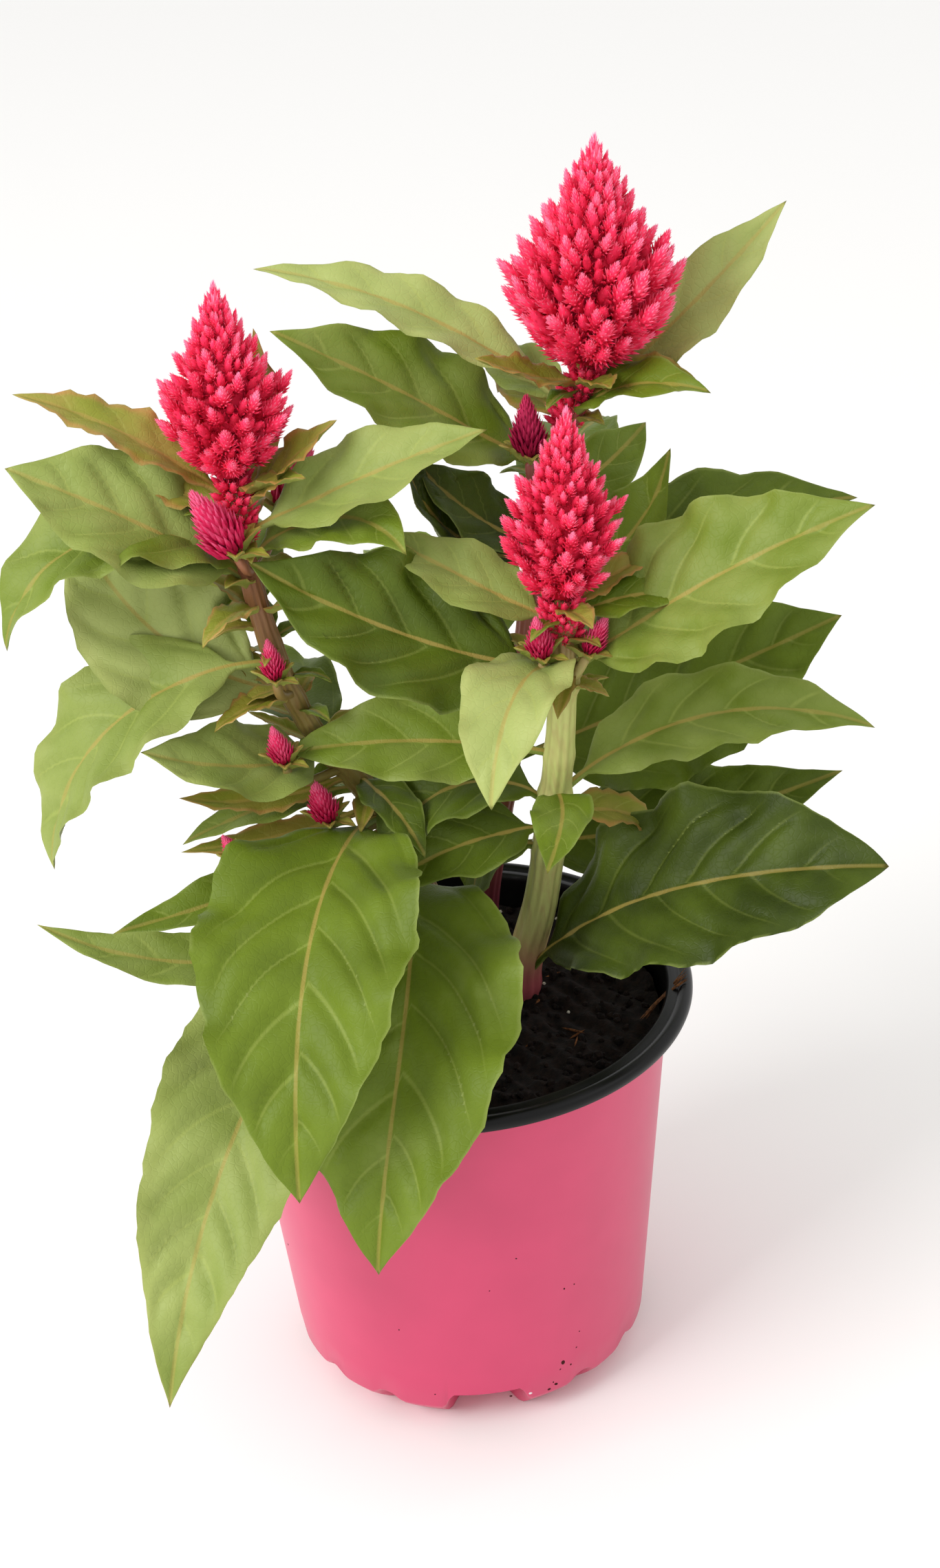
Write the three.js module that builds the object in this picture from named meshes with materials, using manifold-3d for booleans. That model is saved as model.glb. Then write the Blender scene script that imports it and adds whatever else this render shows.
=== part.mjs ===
// A potted celosia: a thermoformed grower's pot, its soil, three leafy stems and their feathery plumes.
// Millimetres, +Z up. The origin is the middle of the pot's base, and -Y is the side seen in the photograph.
import * as THREE from 'three';
import { mergeVertices } from 'three/addons/utils/BufferGeometryUtils.js';
import Module from 'manifold-3d';

const wasm = await Module();
wasm.setup();

// Driving sizes of the pot and its filling
const RIM_RADIUS = 60;
const RIM_WIDTH = 6;
const POT_HEIGHT = 105;
const BASE_RADIUS = 37.5;
const CHAMFER_HEIGHT = 8;
const BODY_FOOT_RADIUS = 45;
const WALL = 0.8;
const FLOOR = 1.2;
const FOOT_PLACES = 16;
const SEGMENTS_PER_FOOT = 4;
const FIRST_NOTCH_DEG = -86.5;
const NOTCH_TOP = 12;
const NARROW_GAP_CUT = 0.3;
const DRAIN_RADIUS = 3;
const DRAIN_CIRCLE = 24;
const SOIL_LEVEL = 96;
const SOIL_RELIEF = 1.2;
const GAP = 0.3;

// Driving sizes of the plant
const ROOT_DEPTH = 12;
const BLADE_THICKNESS = 0.7;
const PETIOLE_THICKNESS = 1.7;
const PETIOLE_SHARE = 0.13;
const PETIOLE_HALF_WIDTH = 1.0;
const TIP_HALF_WIDTH = 0.35;
const PETIOLE_BLEND = 0.2;
const WIDEST_POINT = 0.39;
const BLADE_TAPER = 1.84;
const EDGE_WAVE = 0.07;
const STALK_RADIUS = 1.1;
const STALK_BEND = 3;
const STATION_SPACING = 8.5;
const FEWEST_STATIONS = 6;
const MOST_STATIONS = 10;
const FOLD_DEG = 14;
const CORE_SHARE = 0.5;
const CORE_LEAST_RADIUS = 0.6;
const CROWN_SHARE = 0.86;
const TIP_RISE = 0.1;
const REACH_VARIATION = 0.18;
// The plume's radius at shares of its height, as a share of its greatest
const PLUME_OUTLINE = [[0, 0.35], [0.1, 0.52], [0.2, 0.76], [0.32, 0.93], [0.42, 1], [0.52, 0.95],
  [0.64, 0.68], [0.76, 0.43], [0.87, 0.24], [0.95, 0.1], [1, 0.02]];

const material = (color, roughness) => new THREE.MeshStandardMaterial({ color, roughness, metalness: 0 });
const FINISH = {
  pot: material(0xd62a63, 0.35),
  soil: material(0x1d1614, 0.95),
  leaf: material(0x5c8a34, 0.55),
  plume: material(0xe0356f, 0.6),
};

const v = (x, y, z) => new THREE.Vector3(x, y, z);
const rad = THREE.MathUtils.degToRad;
const mix = THREE.MathUtils.lerp;

// Solids and booleans

// A closed geometry as a manifold solid, turned outward if its faces point in.
function solidOf(geometry) {
  const bare = geometry.clone();
  bare.deleteAttribute('normal');
  bare.deleteAttribute('uv');
  const welded = mergeVertices(bare, 1e-4);
  const points = welded.attributes.position.array;
  const corners = welded.index.array;
  const kept = [];
  let sixVolumes = 0;
  for (let i = 0; i < corners.length; i += 3) {
    const [a, b, c] = [corners[i], corners[i + 1], corners[i + 2]];
    if (a === b || b === c || c === a) continue;
    kept.push(a, b, c);
    const [p, q, r] = [a, b, c].map((k) => v().fromArray(points, 3 * k));
    sixVolumes += p.dot(q.cross(r));
  }
  const outward = sixVolumes < 0 ? kept.reverse() : kept;
  return new wasm.Manifold(new wasm.Mesh({
    numProp: 3,
    vertProperties: new Float32Array(points),
    triVerts: new Uint32Array(outward),
  }));
}

function geometryOf(solid) {
  const mesh = solid.getMesh();
  const geometry = new THREE.BufferGeometry();
  geometry.setAttribute('position', new THREE.BufferAttribute(new Float32Array(mesh.vertProperties), 3));
  geometry.setIndex(Array.from(mesh.triVerts));
  return geometry;
}

// Joins solids into one body; scraps and sealed hollows that the joining leaves are dropped.
function fuse(solids) {
  const joined = solids.reduce((whole, next) => whole.add(next));
  const bodies = joined.decompose();
  return bodies.reduce((largest, next) => (next.volume() > largest.volume() ? next : largest));
}

// A closed skin through rings with the same number of points, an even one. The far half of each ring is
// split along the same diagonals as the near half, so a thin blade's two faces match.
function loft(rings, rising = (i, k) => k < rings[0].length / 2) {
  const count = rings[0].length;
  const corners = [];
  for (let i = 0; i < rings.length - 1; i += 1) {
    for (let k = 0; k < count; k += 1) {
      const next = (k + 1) % count;
      const [a, b, c, d] = [i * count + k, (i + 1) * count + k, (i + 1) * count + next, i * count + next];
      if (rising(i, k)) corners.push(a, b, c, a, c, d);
      else corners.push(a, b, d, b, c, d);
    }
  }
  const last = (rings.length - 1) * count;
  for (let k = 0; k < count / 2 - 1; k += 1) {
    const [a, b, c, d] = [k, k + 1, count - 2 - k, count - 1 - k];
    corners.push(a, b, c, a, c, d);
    corners.push(last + a, last + c, last + b, last + a, last + d, last + c);
  }
  const geometry = new THREE.BufferGeometry().setFromPoints(rings.flat());
  geometry.setIndex(corners);
  return solidOf(geometry);
}

// A round tube along points, with its radius given by a function of the share of the way along.
function tube(points, radiusAt, sides, steps) {
  const curve = new THREE.CatmullRomCurve3(points);
  const frames = curve.computeFrenetFrames(steps);
  const rings = [];
  for (let i = 0; i <= steps; i += 1) {
    const share = i / steps;
    const centre = curve.getPointAt(share);
    const ring = [];
    for (let k = 0; k < sides; k += 1) {
      const angle = (2 * Math.PI * k) / sides;
      ring.push(centre.clone()
        .addScaledVector(frames.normals[i], radiusAt(share) * Math.cos(angle))
        .addScaledVector(frames.binormals[i], radiusAt(share) * Math.sin(angle)));
    }
    rings.push(ring);
  }
  return loft(rings);
}

// Pot

// How far the foot is cut away at a bearing: 0 on the twelve feet, 1 in the four wide notches between their
// groups, and a part of that in the narrow gaps within a group.
function notchShare(bearing) {
  const places = (bearing - rad(FIRST_NOTCH_DEG)) / ((2 * Math.PI) / FOOT_PLACES);
  const inGroup = ((places % 4) + 4) % 4;
  if (Math.min(inGroup, 4 - inGroup) < 0.55) return 1;
  return Math.abs(inGroup - 1.5) < 0.1 || Math.abs(inGroup - 2.5) < 0.1 ? NARROW_GAP_CUT : 0;
}

function pot() {
  const bodyTop = POT_HEIGHT - 3.5;
  const inner = RIM_RADIUS - RIM_WIDTH;
  // Each point of the wall has its radius and height on a foot and, where they differ, in a notch, where
  // the wall steps in under the body and leaves an open corner
  const outside = [
    { foot: [0, 0] },
    { foot: [BASE_RADIUS - 5, 0], notch: [BASE_RADIUS - 8, 0] },
    { foot: [BASE_RADIUS, 0], notch: [BASE_RADIUS - 6.5, 0.4] },
    { foot: [BASE_RADIUS + 3.3, CHAMFER_HEIGHT - 4.7], notch: [BASE_RADIUS - 2, NOTCH_TOP - 1.1] },
    { foot: [BODY_FOOT_RADIUS - 1, CHAMFER_HEIGHT - 1.5], notch: [BODY_FOOT_RADIUS - 0.6, NOTCH_TOP - 0.4] },
    { foot: [BODY_FOOT_RADIUS, CHAMFER_HEIGHT], notch: [BODY_FOOT_RADIUS + 0.4, NOTCH_TOP] },
    { foot: [inner, bodyTop] },
    { foot: [RIM_RADIUS - 0.6, bodyTop] },
    { foot: [RIM_RADIUS, bodyTop + 1] },
    { foot: [RIM_RADIUS - 0.5, POT_HEIGHT - 0.6] },
    { foot: [RIM_RADIUS - 1.6, POT_HEIGHT] },
    { foot: [inner + 1, POT_HEIGHT - 0.4] },
    { foot: [inner - WALL + 0.3, POT_HEIGHT - 2] },
  ];
  const inside = [
    { foot: [inner - WALL, bodyTop] },
    {
      foot: [BODY_FOOT_RADIUS - WALL, CHAMFER_HEIGHT + 0.6],
      notch: [BODY_FOOT_RADIUS - 0.4, NOTCH_TOP + 0.9],
    },
    { foot: [BODY_FOOT_RADIUS - 2, CHAMFER_HEIGHT - 0.8], notch: [BODY_FOOT_RADIUS - 1.6, NOTCH_TOP + 0.6] },
    { foot: [BASE_RADIUS + 2.6, CHAMFER_HEIGHT - 3.7], notch: [BASE_RADIUS - 2.7, NOTCH_TOP] },
    { foot: [BASE_RADIUS - 0.4, FLOOR], notch: [BASE_RADIUS - 7.3, FLOOR + 0.3] },
    { foot: [BASE_RADIUS - 5.4, FLOOR], notch: [BASE_RADIUS - 8.5, FLOOR] },
    { foot: [0, FLOOR] },
  ];
  const wall = [...outside, ...inside];
  const segments = FOOT_PLACES * SEGMENTS_PER_FOOT;
  const skin = new THREE.LatheGeometry(wall.map(({ foot }) => new THREE.Vector2(...foot)), segments);
  skin.rotateX(Math.PI / 2);
  skin.rotateZ(rad(FIRST_NOTCH_DEG) + Math.PI / 2);
  const place = skin.attributes.position;
  const step = (2 * Math.PI) / segments;
  for (let i = 0; i < place.count; i += 1) {
    const point = i % wall.length;
    const { foot, notch = foot } = wall[point];
    const bearing = Math.atan2(place.getY(i), place.getX(i));
    // The inside steps in one segment sooner than the outside, so the wall keeps its thickness there
    const reach = point < outside.length ? [0] : [-step, 0, step];
    const cut = Math.max(...reach.map((offset) => notchShare(bearing + offset)));
    const radius = mix(foot[0], notch[0], cut);
    place.setXYZ(i, radius * Math.cos(bearing), radius * Math.sin(bearing), mix(foot[1], notch[1], cut));
  }
  let body = solidOf(skin);
  for (let k = 0; k < 4; k += 1) {
    const bearing = rad(FIRST_NOTCH_DEG + 45 + 90 * k);
    const drill = new THREE.CylinderGeometry(DRAIN_RADIUS, DRAIN_RADIUS, 4 * FLOOR, 12);
    drill.rotateX(Math.PI / 2);
    drill.translate(DRAIN_CIRCLE * Math.cos(bearing), DRAIN_CIRCLE * Math.sin(bearing), FLOOR / 2);
    body = body.subtract(solidOf(drill));
  }
  return body;
}

// Soil: fills the pot just clear of its wall, with a crumbly top and a plain hole for each stem.
function soil(stems) {
  const topRadius = RIM_RADIUS - RIM_WIDTH - WALL - 2 * GAP;
  const profile = [
    [0, FLOOR + GAP], [BASE_RADIUS - 9.2, FLOOR + GAP], [BASE_RADIUS - 3.9, NOTCH_TOP + 1.2],
    [BODY_FOOT_RADIUS - 2, NOTCH_TOP + 1.4],
    [topRadius - 0.7, SOIL_LEVEL - 1], [48, SOIL_LEVEL], [40, SOIL_LEVEL], [31, SOIL_LEVEL], [21, SOIL_LEVEL],
    [10, SOIL_LEVEL], [0, SOIL_LEVEL],
  ].map(([x, y]) => new THREE.Vector2(x, y));
  const skin = new THREE.LatheGeometry(profile, FOOT_PLACES * 2);
  skin.rotateX(Math.PI / 2);
  const place = skin.attributes.position;
  for (let i = 0; i < place.count; i += 1) {
    const p = v().fromBufferAttribute(place, i);
    if (p.z < SOIL_LEVEL - 0.5) continue;
    const bump = Math.sin(0.23 * p.x + 1) * Math.sin(0.19 * p.y) + 0.5 * Math.sin(0.9 * p.x + 0.7 * p.y);
    place.setZ(i, p.z + SOIL_RELIEF * bump);
  }
  return stems.reduce((body, stem) => {
    const [root, ...above] = stem.points;
    const path = [root.clone().add(v(0, 0, -GAP)), ...above];
    return body.subtract(tube(path, (share) => stem.radiusAt(share) + 2 * GAP, 10, 16));
  }, solidOf(skin));
}

// Stems and leaves

// A stem is a tapered tube through points; the first one lies ROOT_DEPTH under the soil.
function stem(points, rootRadius, topRadius) {
  const [x, y] = points[0];
  const path = [v(x, y, SOIL_LEVEL - ROOT_DEPTH), ...points.map((p) => v(...p))];
  return { points: path, radiusAt: (share) => mix(rootRadius, topRadius, share) };
}

// The point of a stem's centre line at a height.
function nodeAt(points, height) {
  for (let i = 1; i < points.length; i += 1) {
    if (height <= points[i].z) {
      const share = (height - points[i - 1].z) / (points[i].z - points[i - 1].z);
      return points[i - 1].clone().lerp(points[i], share);
    }
  }
  return points[points.length - 1].clone();
}

// Half the width of a blade at a share of its length, as a share of half its greatest width, which lies
// at the share widest.
function bladeOutline(share, widest) {
  const shape = (s) => s ** (BLADE_TAPER * widest) * (1 - s) ** (BLADE_TAPER * (1 - widest));
  return shape(share) / shape(widest);
}

// A leaf leaves its stem at a height z and a bearing az, rises, droops along a circular arc and turns
// sideways. Its blade is folded along the midrib, rolled about it, and waved along its edges.
function leaf(points, { z, az, rise, droop, turn, long, wide, roll, widest = WIDEST_POINT }) {
  const stations = Math.min(MOST_STATIONS, Math.max(FEWEST_STATIONS, Math.round(long / STATION_SPACING)));
  const fine = 8;
  const centre = nodeAt(points, z);
  const rings = [];
  for (let i = 0; i <= stations * fine; i += 1) {
    const share = i / (stations * fine);
    const pitch = rad(rise - droop * share);
    const bearing = rad(az + turn * share);
    const forward = Math.cos(pitch);
    const along = v(forward * Math.cos(bearing), forward * Math.sin(bearing), Math.sin(pitch));
    if (i > 0) centre.addScaledVector(along, long / (stations * fine));
    if (i % fine !== 0) continue;
    const level = v(-Math.sin(bearing), Math.cos(bearing), 0);
    const above = along.clone().cross(level);
    const [evenly, tipped] = [Math.cos(rad(roll)), Math.sin(rad(roll))];
    const side = level.clone().multiplyScalar(evenly).addScaledVector(above, tipped);
    const up = above.clone().multiplyScalar(evenly).addScaledVector(level, -tipped);
    const blade = Math.max(0, (share - PETIOLE_SHARE) / (1 - PETIOLE_SHARE));
    const least = blade < 0.5 ? PETIOLE_HALF_WIDTH : TIP_HALF_WIDTH;
    const half = Math.max((wide / 2) * bladeOutline(blade, widest), least);
    const thick = mix(PETIOLE_THICKNESS, BLADE_THICKNESS, Math.min(1, blade / PETIOLE_BLEND));
    const beat = Math.PI * stations * share;
    const lift = (phase) => half * (Math.sin(rad(FOLD_DEG)) + 2 * EDGE_WAVE * Math.cos(beat + phase));
    const edge = (sign, phase) => centre.clone()
      .addScaledVector(side, sign * half * Math.cos(rad(FOLD_DEG)))
      .addScaledVector(up, blade > 0 ? lift(phase) : 0);
    const [left, right] = [edge(1, 0), edge(-1, 2)];
    const raised = (p) => p.clone().addScaledVector(up, thick / 2);
    const lowered = (p) => p.clone().addScaledVector(up, -thick / 2);
    rings.push([raised(left), raised(centre), raised(right), lowered(right), lowered(centre), lowered(left)]);
  }
  return loft(rings);
}

// A stalk that carries a side plume: from the stem's centre line to just under the plume's base.
function stalk(points, { from, base, tip }) {
  const up = v(...tip).sub(v(...base)).normalize();
  const end = v(...base).addScaledVector(up, -2 * GAP);
  const bend = v(...base).addScaledVector(up, -STALK_BEND);
  return tube([nodeAt(points, from), bend, end], () => STALK_RADIUS, 6, 4);
}

function leafyStem({ line, leaves, plumes }) {
  return fuse([
    tube(line.points, line.radiusAt, 8, 12),
    ...leaves.map((shape) => leaf(line.points, shape)),
    ...plumes.map((shape) => stalk(line.points, shape)),
  ]);
}

// Plumes

function plumeRadius(halfWidth, share) {
  const next = Math.max(1, PLUME_OUTLINE.findIndex(([at]) => at >= share));
  const [[from, small], [to, large]] = [PLUME_OUTLINE[next - 1], PLUME_OUTLINE[next]];
  return halfWidth * mix(small, large, (share - from) / (to - from));
}

// A plume is one skin on a grid of rows and columns. Every second point, as on a chessboard, is the tip of
// a spikelet, drawn out and up from the core to the plume's outline. base and tip are the axis's ends.
function plume({ base, tip, halfWidth, rows, columns }) {
  const start = v(...base);
  const axis = v(...tip).sub(start);
  const up = axis.clone().normalize();
  const across = v(0, 1, 0).cross(up).normalize();
  const depth = up.clone().cross(across);
  const isTip = (row, column) => row > 0 && row < rows && (row + column) % 2 === 1;
  const rings = [];
  for (let row = 0; row <= rows; row += 1) {
    const share = (CROWN_SHARE * row) / rows;
    const tipShare = share + TIP_RISE * (1 - share);
    const ring = [];
    for (let column = 0; column < columns; column += 1) {
      const angle = (2 * Math.PI * column) / columns;
      const outward = across.clone().multiplyScalar(Math.cos(angle)).addScaledVector(depth, Math.sin(angle));
      const variation = REACH_VARIATION * Math.abs(Math.sin(7 * row + 3 * column));
      const [height, reach] = isTip(row, column)
        ? [tipShare, plumeRadius(halfWidth, tipShare) * (1 - variation)]
        : [share, Math.max(CORE_LEAST_RADIUS, CORE_SHARE * plumeRadius(halfWidth, share))];
      ring.push(start.clone().addScaledVector(axis, height).addScaledVector(outward, reach));
    }
    rings.push(ring);
  }
  const crown = rings[rows].map((point) => point.clone().lerp(v(...tip), 0.9));
  return loft([...rings, crown], (row, column) => (row + column) % 2 === 0);
}

// The three stems, as photographed: the thick one at the front, a slimmer one behind it and one to the left
const FRONT_STEM = stem([[18, 8, 97], [24, 2, 127], [27, -4, 150], [30, -12, 180], [31, -18, 205],
  [31, -20, 215]], 4.6, 2.8);
const BACK_STEM = stem([[10, 36, 100], [16, 32, 137], [25, 26, 191], [32, 20, 231], [38, 14, 250],
  [41, 12, 257]], 3.4, 2);
const LEFT_STEM = stem([[0, 18, 105], [-5, 13, 126], [-17, 4, 159], [-29, -4, 183], [-35, -8, 205],
  [-39, -8, 231], [-40, -6, 243]], 3.2, 2);

const FRONT_LEAVES = [
  { z: 99, az: -50, rise: 57, droop: 56, turn: 40, long: 115, wide: 46, roll: 40, widest: 0.5 },
  { z: 142, az: -175, rise: 36, droop: 190, turn: -9, long: 38, wide: 16, roll: -20 },
  { z: 149, az: -153, rise: 18, droop: 46, turn: -8, long: 48, wide: 22, roll: -25 },
  { z: 160, az: -75, rise: 22, droop: 60, turn: -45, long: 32, wide: 15, roll: 0 },
  { z: 152, az: 10, rise: 17, droop: 75, turn: 0, long: 32, wide: 12, roll: 20 },
  { z: 155, az: 179, rise: 55, droop: 150, turn: 16, long: 57, wide: 22, roll: -25 },
  { z: 158, az: 10, rise: 43, droop: 66, turn: -18, long: 82, wide: 24, roll: 30 },
  { z: 172, az: 180, rise: 17, droop: 25, turn: 0, long: 64, wide: 24, roll: -40 },
  { z: 194, az: -20, rise: 44, droop: 22, turn: 12, long: 84, wide: 36, roll: 40 },
  { z: 196, az: -171, rise: 17, droop: -18, turn: -15, long: 76, wide: 38, roll: -40 },
  { z: 195, az: -118, rise: 50, droop: 130, turn: 7, long: 56, wide: 24, roll: 0 },
  { z: 209, az: 168, rise: 28, droop: 10, turn: -22, long: 47, wide: 18, roll: -25 },
  { z: 210, az: 0, rise: 33, droop: 50, turn: 0, long: 32, wide: 14, roll: 20 },
  { z: 194, az: 155, rise: 59, droop: 58, turn: 17, long: 22, wide: 6, roll: 0 },
  { z: 192, az: -48, rise: 35, droop: 60, turn: 20, long: 14, wide: 6, roll: 0 },
  { z: 212, az: 25, rise: 35, droop: 25, turn: -12, long: 28, wide: 9, roll: 15 },
  { z: 213, az: -68, rise: 30, droop: 40, turn: 0, long: 17, wide: 8, roll: 0 },
  { z: 213, az: 105, rise: 28, droop: 10, turn: 0, long: 23, wide: 10, roll: 0 },
];
const BACK_LEAVES = [
  { z: 124, az: -20, rise: 9, droop: -12, turn: 20, long: 91, wide: 28, roll: 45 },
  { z: 149, az: -13, rise: 27, droop: 5, turn: 17, long: 91, wide: 48, roll: 50 },
  { z: 140, az: 95, rise: 30, droop: 60, turn: 10, long: 80, wide: 34, roll: 0 },
  { z: 158, az: 50, rise: 30, droop: 50, turn: -10, long: 78, wide: 32, roll: 0 },
  { z: 164, az: 180, rise: 21, droop: 120, turn: 16, long: 57, wide: 26, roll: -20 },
  { z: 178, az: 118, rise: 32, droop: 55, turn: 10, long: 74, wide: 32, roll: 0 },
  { z: 191, az: 0, rise: 34, droop: 30, turn: -5, long: 84, wide: 30, roll: 35 },
  { z: 199, az: -30, rise: 15, droop: -65, turn: 28, long: 54, wide: 22, roll: 40 },
  { z: 206, az: -160, rise: 14, droop: -66, turn: 12, long: 51, wide: 26, roll: -40 },
  { z: 210, az: -165, rise: 29, droop: -27, turn: -6, long: 39, wide: 20, roll: -40 },
  { z: 214, az: 75, rise: 32, droop: 50, turn: -10, long: 60, wide: 24, roll: 0 },
  { z: 220, az: 30, rise: 17, droop: -5, turn: 20, long: 36, wide: 16, roll: 40 },
  { z: 229, az: -170, rise: 40, droop: 14, turn: -17, long: 74, wide: 30, roll: -35 },
  { z: 243, az: -49, rise: 54, droop: 67, turn: 25, long: 43, wide: 16, roll: 20 },
  { z: 245, az: 131, rise: 14, droop: 16, turn: -6, long: 27, wide: 12, roll: -20 },
  { z: 246, az: 12, rise: 34, droop: -8, turn: 10, long: 68, wide: 20, roll: 35 },
  { z: 247, az: 162, rise: 41, droop: 37, turn: 0, long: 82, wide: 18, roll: -20 },
  { z: 249, az: 139, rise: 18, droop: 15, turn: -18, long: 33, wide: 14, roll: -25 },
  { z: 249, az: -7, rise: 44, droop: 68, turn: -12, long: 31, wide: 12, roll: 20 },
  { z: 230, az: 158, rise: 38, droop: -17, turn: -7, long: 19, wide: 4, roll: 0 },
  { z: 254, az: -150, rise: 18, droop: -14, turn: 0, long: 31, wide: 11, roll: -20 },
  { z: 254, az: -75, rise: 22, droop: 10, turn: 0, long: 20, wide: 9, roll: 0 },
  { z: 254, az: 80, rise: 24, droop: 0, turn: 0, long: 27, wide: 11, roll: 0 },
];
const LEFT_LEAVES = [
  { z: 123, az: -155, rise: -22, droop: -47, turn: -41, long: 101, wide: 18, roll: -30 },
  { z: 128, az: -126, rise: 4, droop: 74, turn: 8, long: 152, wide: 42, roll: -20 },
  { z: 136, az: -83, rise: 10, droop: 90, turn: -36, long: 118, wide: 57, roll: 0 },
  { z: 142, az: -158, rise: -8, droop: 0, turn: -12, long: 72, wide: 16, roll: -30 },
  { z: 149, az: -111, rise: 26, droop: 109, turn: 16, long: 119, wide: 52, roll: 0 },
  { z: 153, az: -165, rise: -12, droop: -12, turn: -12, long: 48, wide: 9, roll: -20 },
  { z: 159, az: -170, rise: 5, droop: 30, turn: 0, long: 46, wide: 12, roll: -20 },
  { z: 164, az: -161, rise: -15, droop: -30, turn: -20, long: 42, wide: 11, roll: -20 },
  { z: 168, az: 120, rise: 30, droop: 60, turn: 10, long: 66, wide: 28, roll: 0 },
  { z: 172, az: -133, rise: 7, droop: -22, turn: -32, long: 52, wide: 24, roll: -30 },
  { z: 190, az: 177, rise: 10, droop: -58, turn: -34, long: 68, wide: 36, roll: -50 },
  { z: 199, az: -173, rise: 7, droop: 94, turn: -9, long: 85, wide: 32, roll: -30 },
  { z: 208, az: 110, rise: 35, droop: 50, turn: 0, long: 56, wide: 24, roll: 0 },
  { z: 216, az: -175, rise: 70, droop: 150, turn: 8, long: 78, wide: 30, roll: -20 },
  { z: 219, az: -163, rise: 43, droop: 23, turn: -32, long: 62, wide: 34, roll: -35 },
  { z: 224, az: 15, rise: 50, droop: 80, turn: -75, long: 46, wide: 20, roll: 30 },
  { z: 231, az: -5, rise: 28, droop: 10, turn: 0, long: 61, wide: 22, roll: 30 },
  { z: 236, az: -8, rise: 46, droop: 8, turn: 12, long: 32, wide: 15, roll: 10 },
  { z: 236, az: 165, rise: 23, droop: 12, turn: -12, long: 27, wide: 12, roll: -20 },
  { z: 238, az: 169, rise: 44, droop: 33, turn: -5, long: 56, wide: 15, roll: -15 },
  { z: 162, az: -62, rise: 18, droop: 70, turn: 10, long: 32, wide: 13, roll: 0 },
  { z: 170, az: -174, rise: 4, droop: -20, turn: -10, long: 28, wide: 8, roll: 0 },
  { z: 172, az: 165, rise: 25, droop: 0, turn: 0, long: 22, wide: 6, roll: 0 },
  { z: 182, az: 157, rise: 70, droop: 89, turn: 15, long: 33, wide: 9, roll: -10 },
  { z: 188, az: -140, rise: 30, droop: 60, turn: -10, long: 24, wide: 9, roll: 0 },
  { z: 203, az: 112, rise: 70, droop: 130, turn: 60, long: 26, wide: 11, roll: 0 },
  { z: 212, az: -120, rise: 45, droop: 95, turn: -25, long: 22, wide: 9, roll: 0 },
  { z: 205, az: 151, rise: 76, droop: 79, turn: 27, long: 28, wide: 8, roll: 0 },
  { z: 236, az: 145, rise: 24, droop: 29, turn: 0, long: 20, wide: 9, roll: -15 },
  { z: 238, az: 75, rise: 16, droop: -95, turn: -30, long: 44, wide: 13, roll: 0 },
  { z: 241, az: -35, rise: 25, droop: 10, turn: 0, long: 22, wide: 10, roll: 0 },
];

// The plumes: one at the end of each stem, and smaller ones on stalks that leave a stem at the height from
const END_PLUMES = {
  plume_back: { base: [41.6, 11.8, 258.2], tip: [44, 12, 311.5], halfWidth: 22.5, rows: 20, columns: 14 },
  plume_left: { base: [-40.1, -5.9, 244], tip: [-39.5, -6, 290], halfWidth: 17.5, rows: 16, columns: 12 },
  plume_front: { base: [31.1, -20.1, 216], tip: [34, -20, 262], halfWidth: 16, rows: 16, columns: 12 },
};
const BUD = { rows: 7, columns: 8 };
const SIDE_PLUMES = {
  front: {
    bud_front: { from: 192, base: [26, -25, 204.5], tip: [25, -26, 215], halfWidth: 4.5, ...BUD },
    bud_front_right: { from: 190, base: [36.5, -20, 202.5], tip: [41, -21, 212], halfWidth: 3.5, ...BUD },
  },
  back: {
    bud_back: { from: 224, base: [26.5, 10, 238], tip: [26.5, 10, 253], halfWidth: 5.5, ...BUD },
  },
  left: {
    bud_left_high: { from: 220, base: [-30, 5, 231], tip: [-22.5, 6, 246], halfWidth: 6.5, ...BUD },
    bud_left_pink: { from: 222, base: [-40, -15.5, 230], tip: [-48, -17, 246], halfWidth: 7, ...BUD },
    bud_left_mid: { from: 190, base: [-34, -15, 198.5], tip: [-35, -16, 209], halfWidth: 3.5, ...BUD },
    bud_left_low: { from: 166, base: [-34, -14, 176.5], tip: [-36, -15, 186.5], halfWidth: 4, ...BUD },
    bud_left_inner: { from: 148, base: [-25.5, -8, 157], tip: [-28, -9, 168.5], halfWidth: 5, ...BUD },
    bud_left_outer: { from: 145, base: [-46.5, -14, 151], tip: [-50, -15, 159], halfWidth: 3.5, ...BUD },
  },
};

const STEMS = {
  front: { line: FRONT_STEM, leaves: FRONT_LEAVES, plumes: Object.values(SIDE_PLUMES.front) },
  back: { line: BACK_STEM, leaves: BACK_LEAVES, plumes: Object.values(SIDE_PLUMES.back) },
  left: { line: LEFT_STEM, leaves: LEFT_LEAVES, plumes: Object.values(SIDE_PLUMES.left) },
};

const group = new THREE.Group();
function addPiece(name, solid, finish) {
  const mesh = new THREE.Mesh(geometryOf(solid), finish);
  mesh.name = name;
  group.add(mesh);
}

addPiece('pot', pot(), FINISH.pot);
addPiece('soil', soil(Object.values(STEMS).map(({ line }) => line)), FINISH.soil);
for (const [name, shape] of Object.entries(STEMS)) {
  addPiece(`leafy_stem_${name}`, leafyStem(shape), FINISH.leaf);
}
for (const plumes of [END_PLUMES, ...Object.values(SIDE_PLUMES)]) {
  for (const [name, shape] of Object.entries(plumes)) addPiece(name, plume(shape), FINISH.plume);
}

export default group;
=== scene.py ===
"""Dresses the potted celosia: growers' pot, damp soil, three leafy stems, feathery plumes and side buds."""

import logging
import math
from dataclasses import dataclass, field
from enum import Enum
from functools import partial
from typing import Any, Callable

import bpy
import numpy as np
from mathutils import Matrix, Vector, noise


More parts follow.
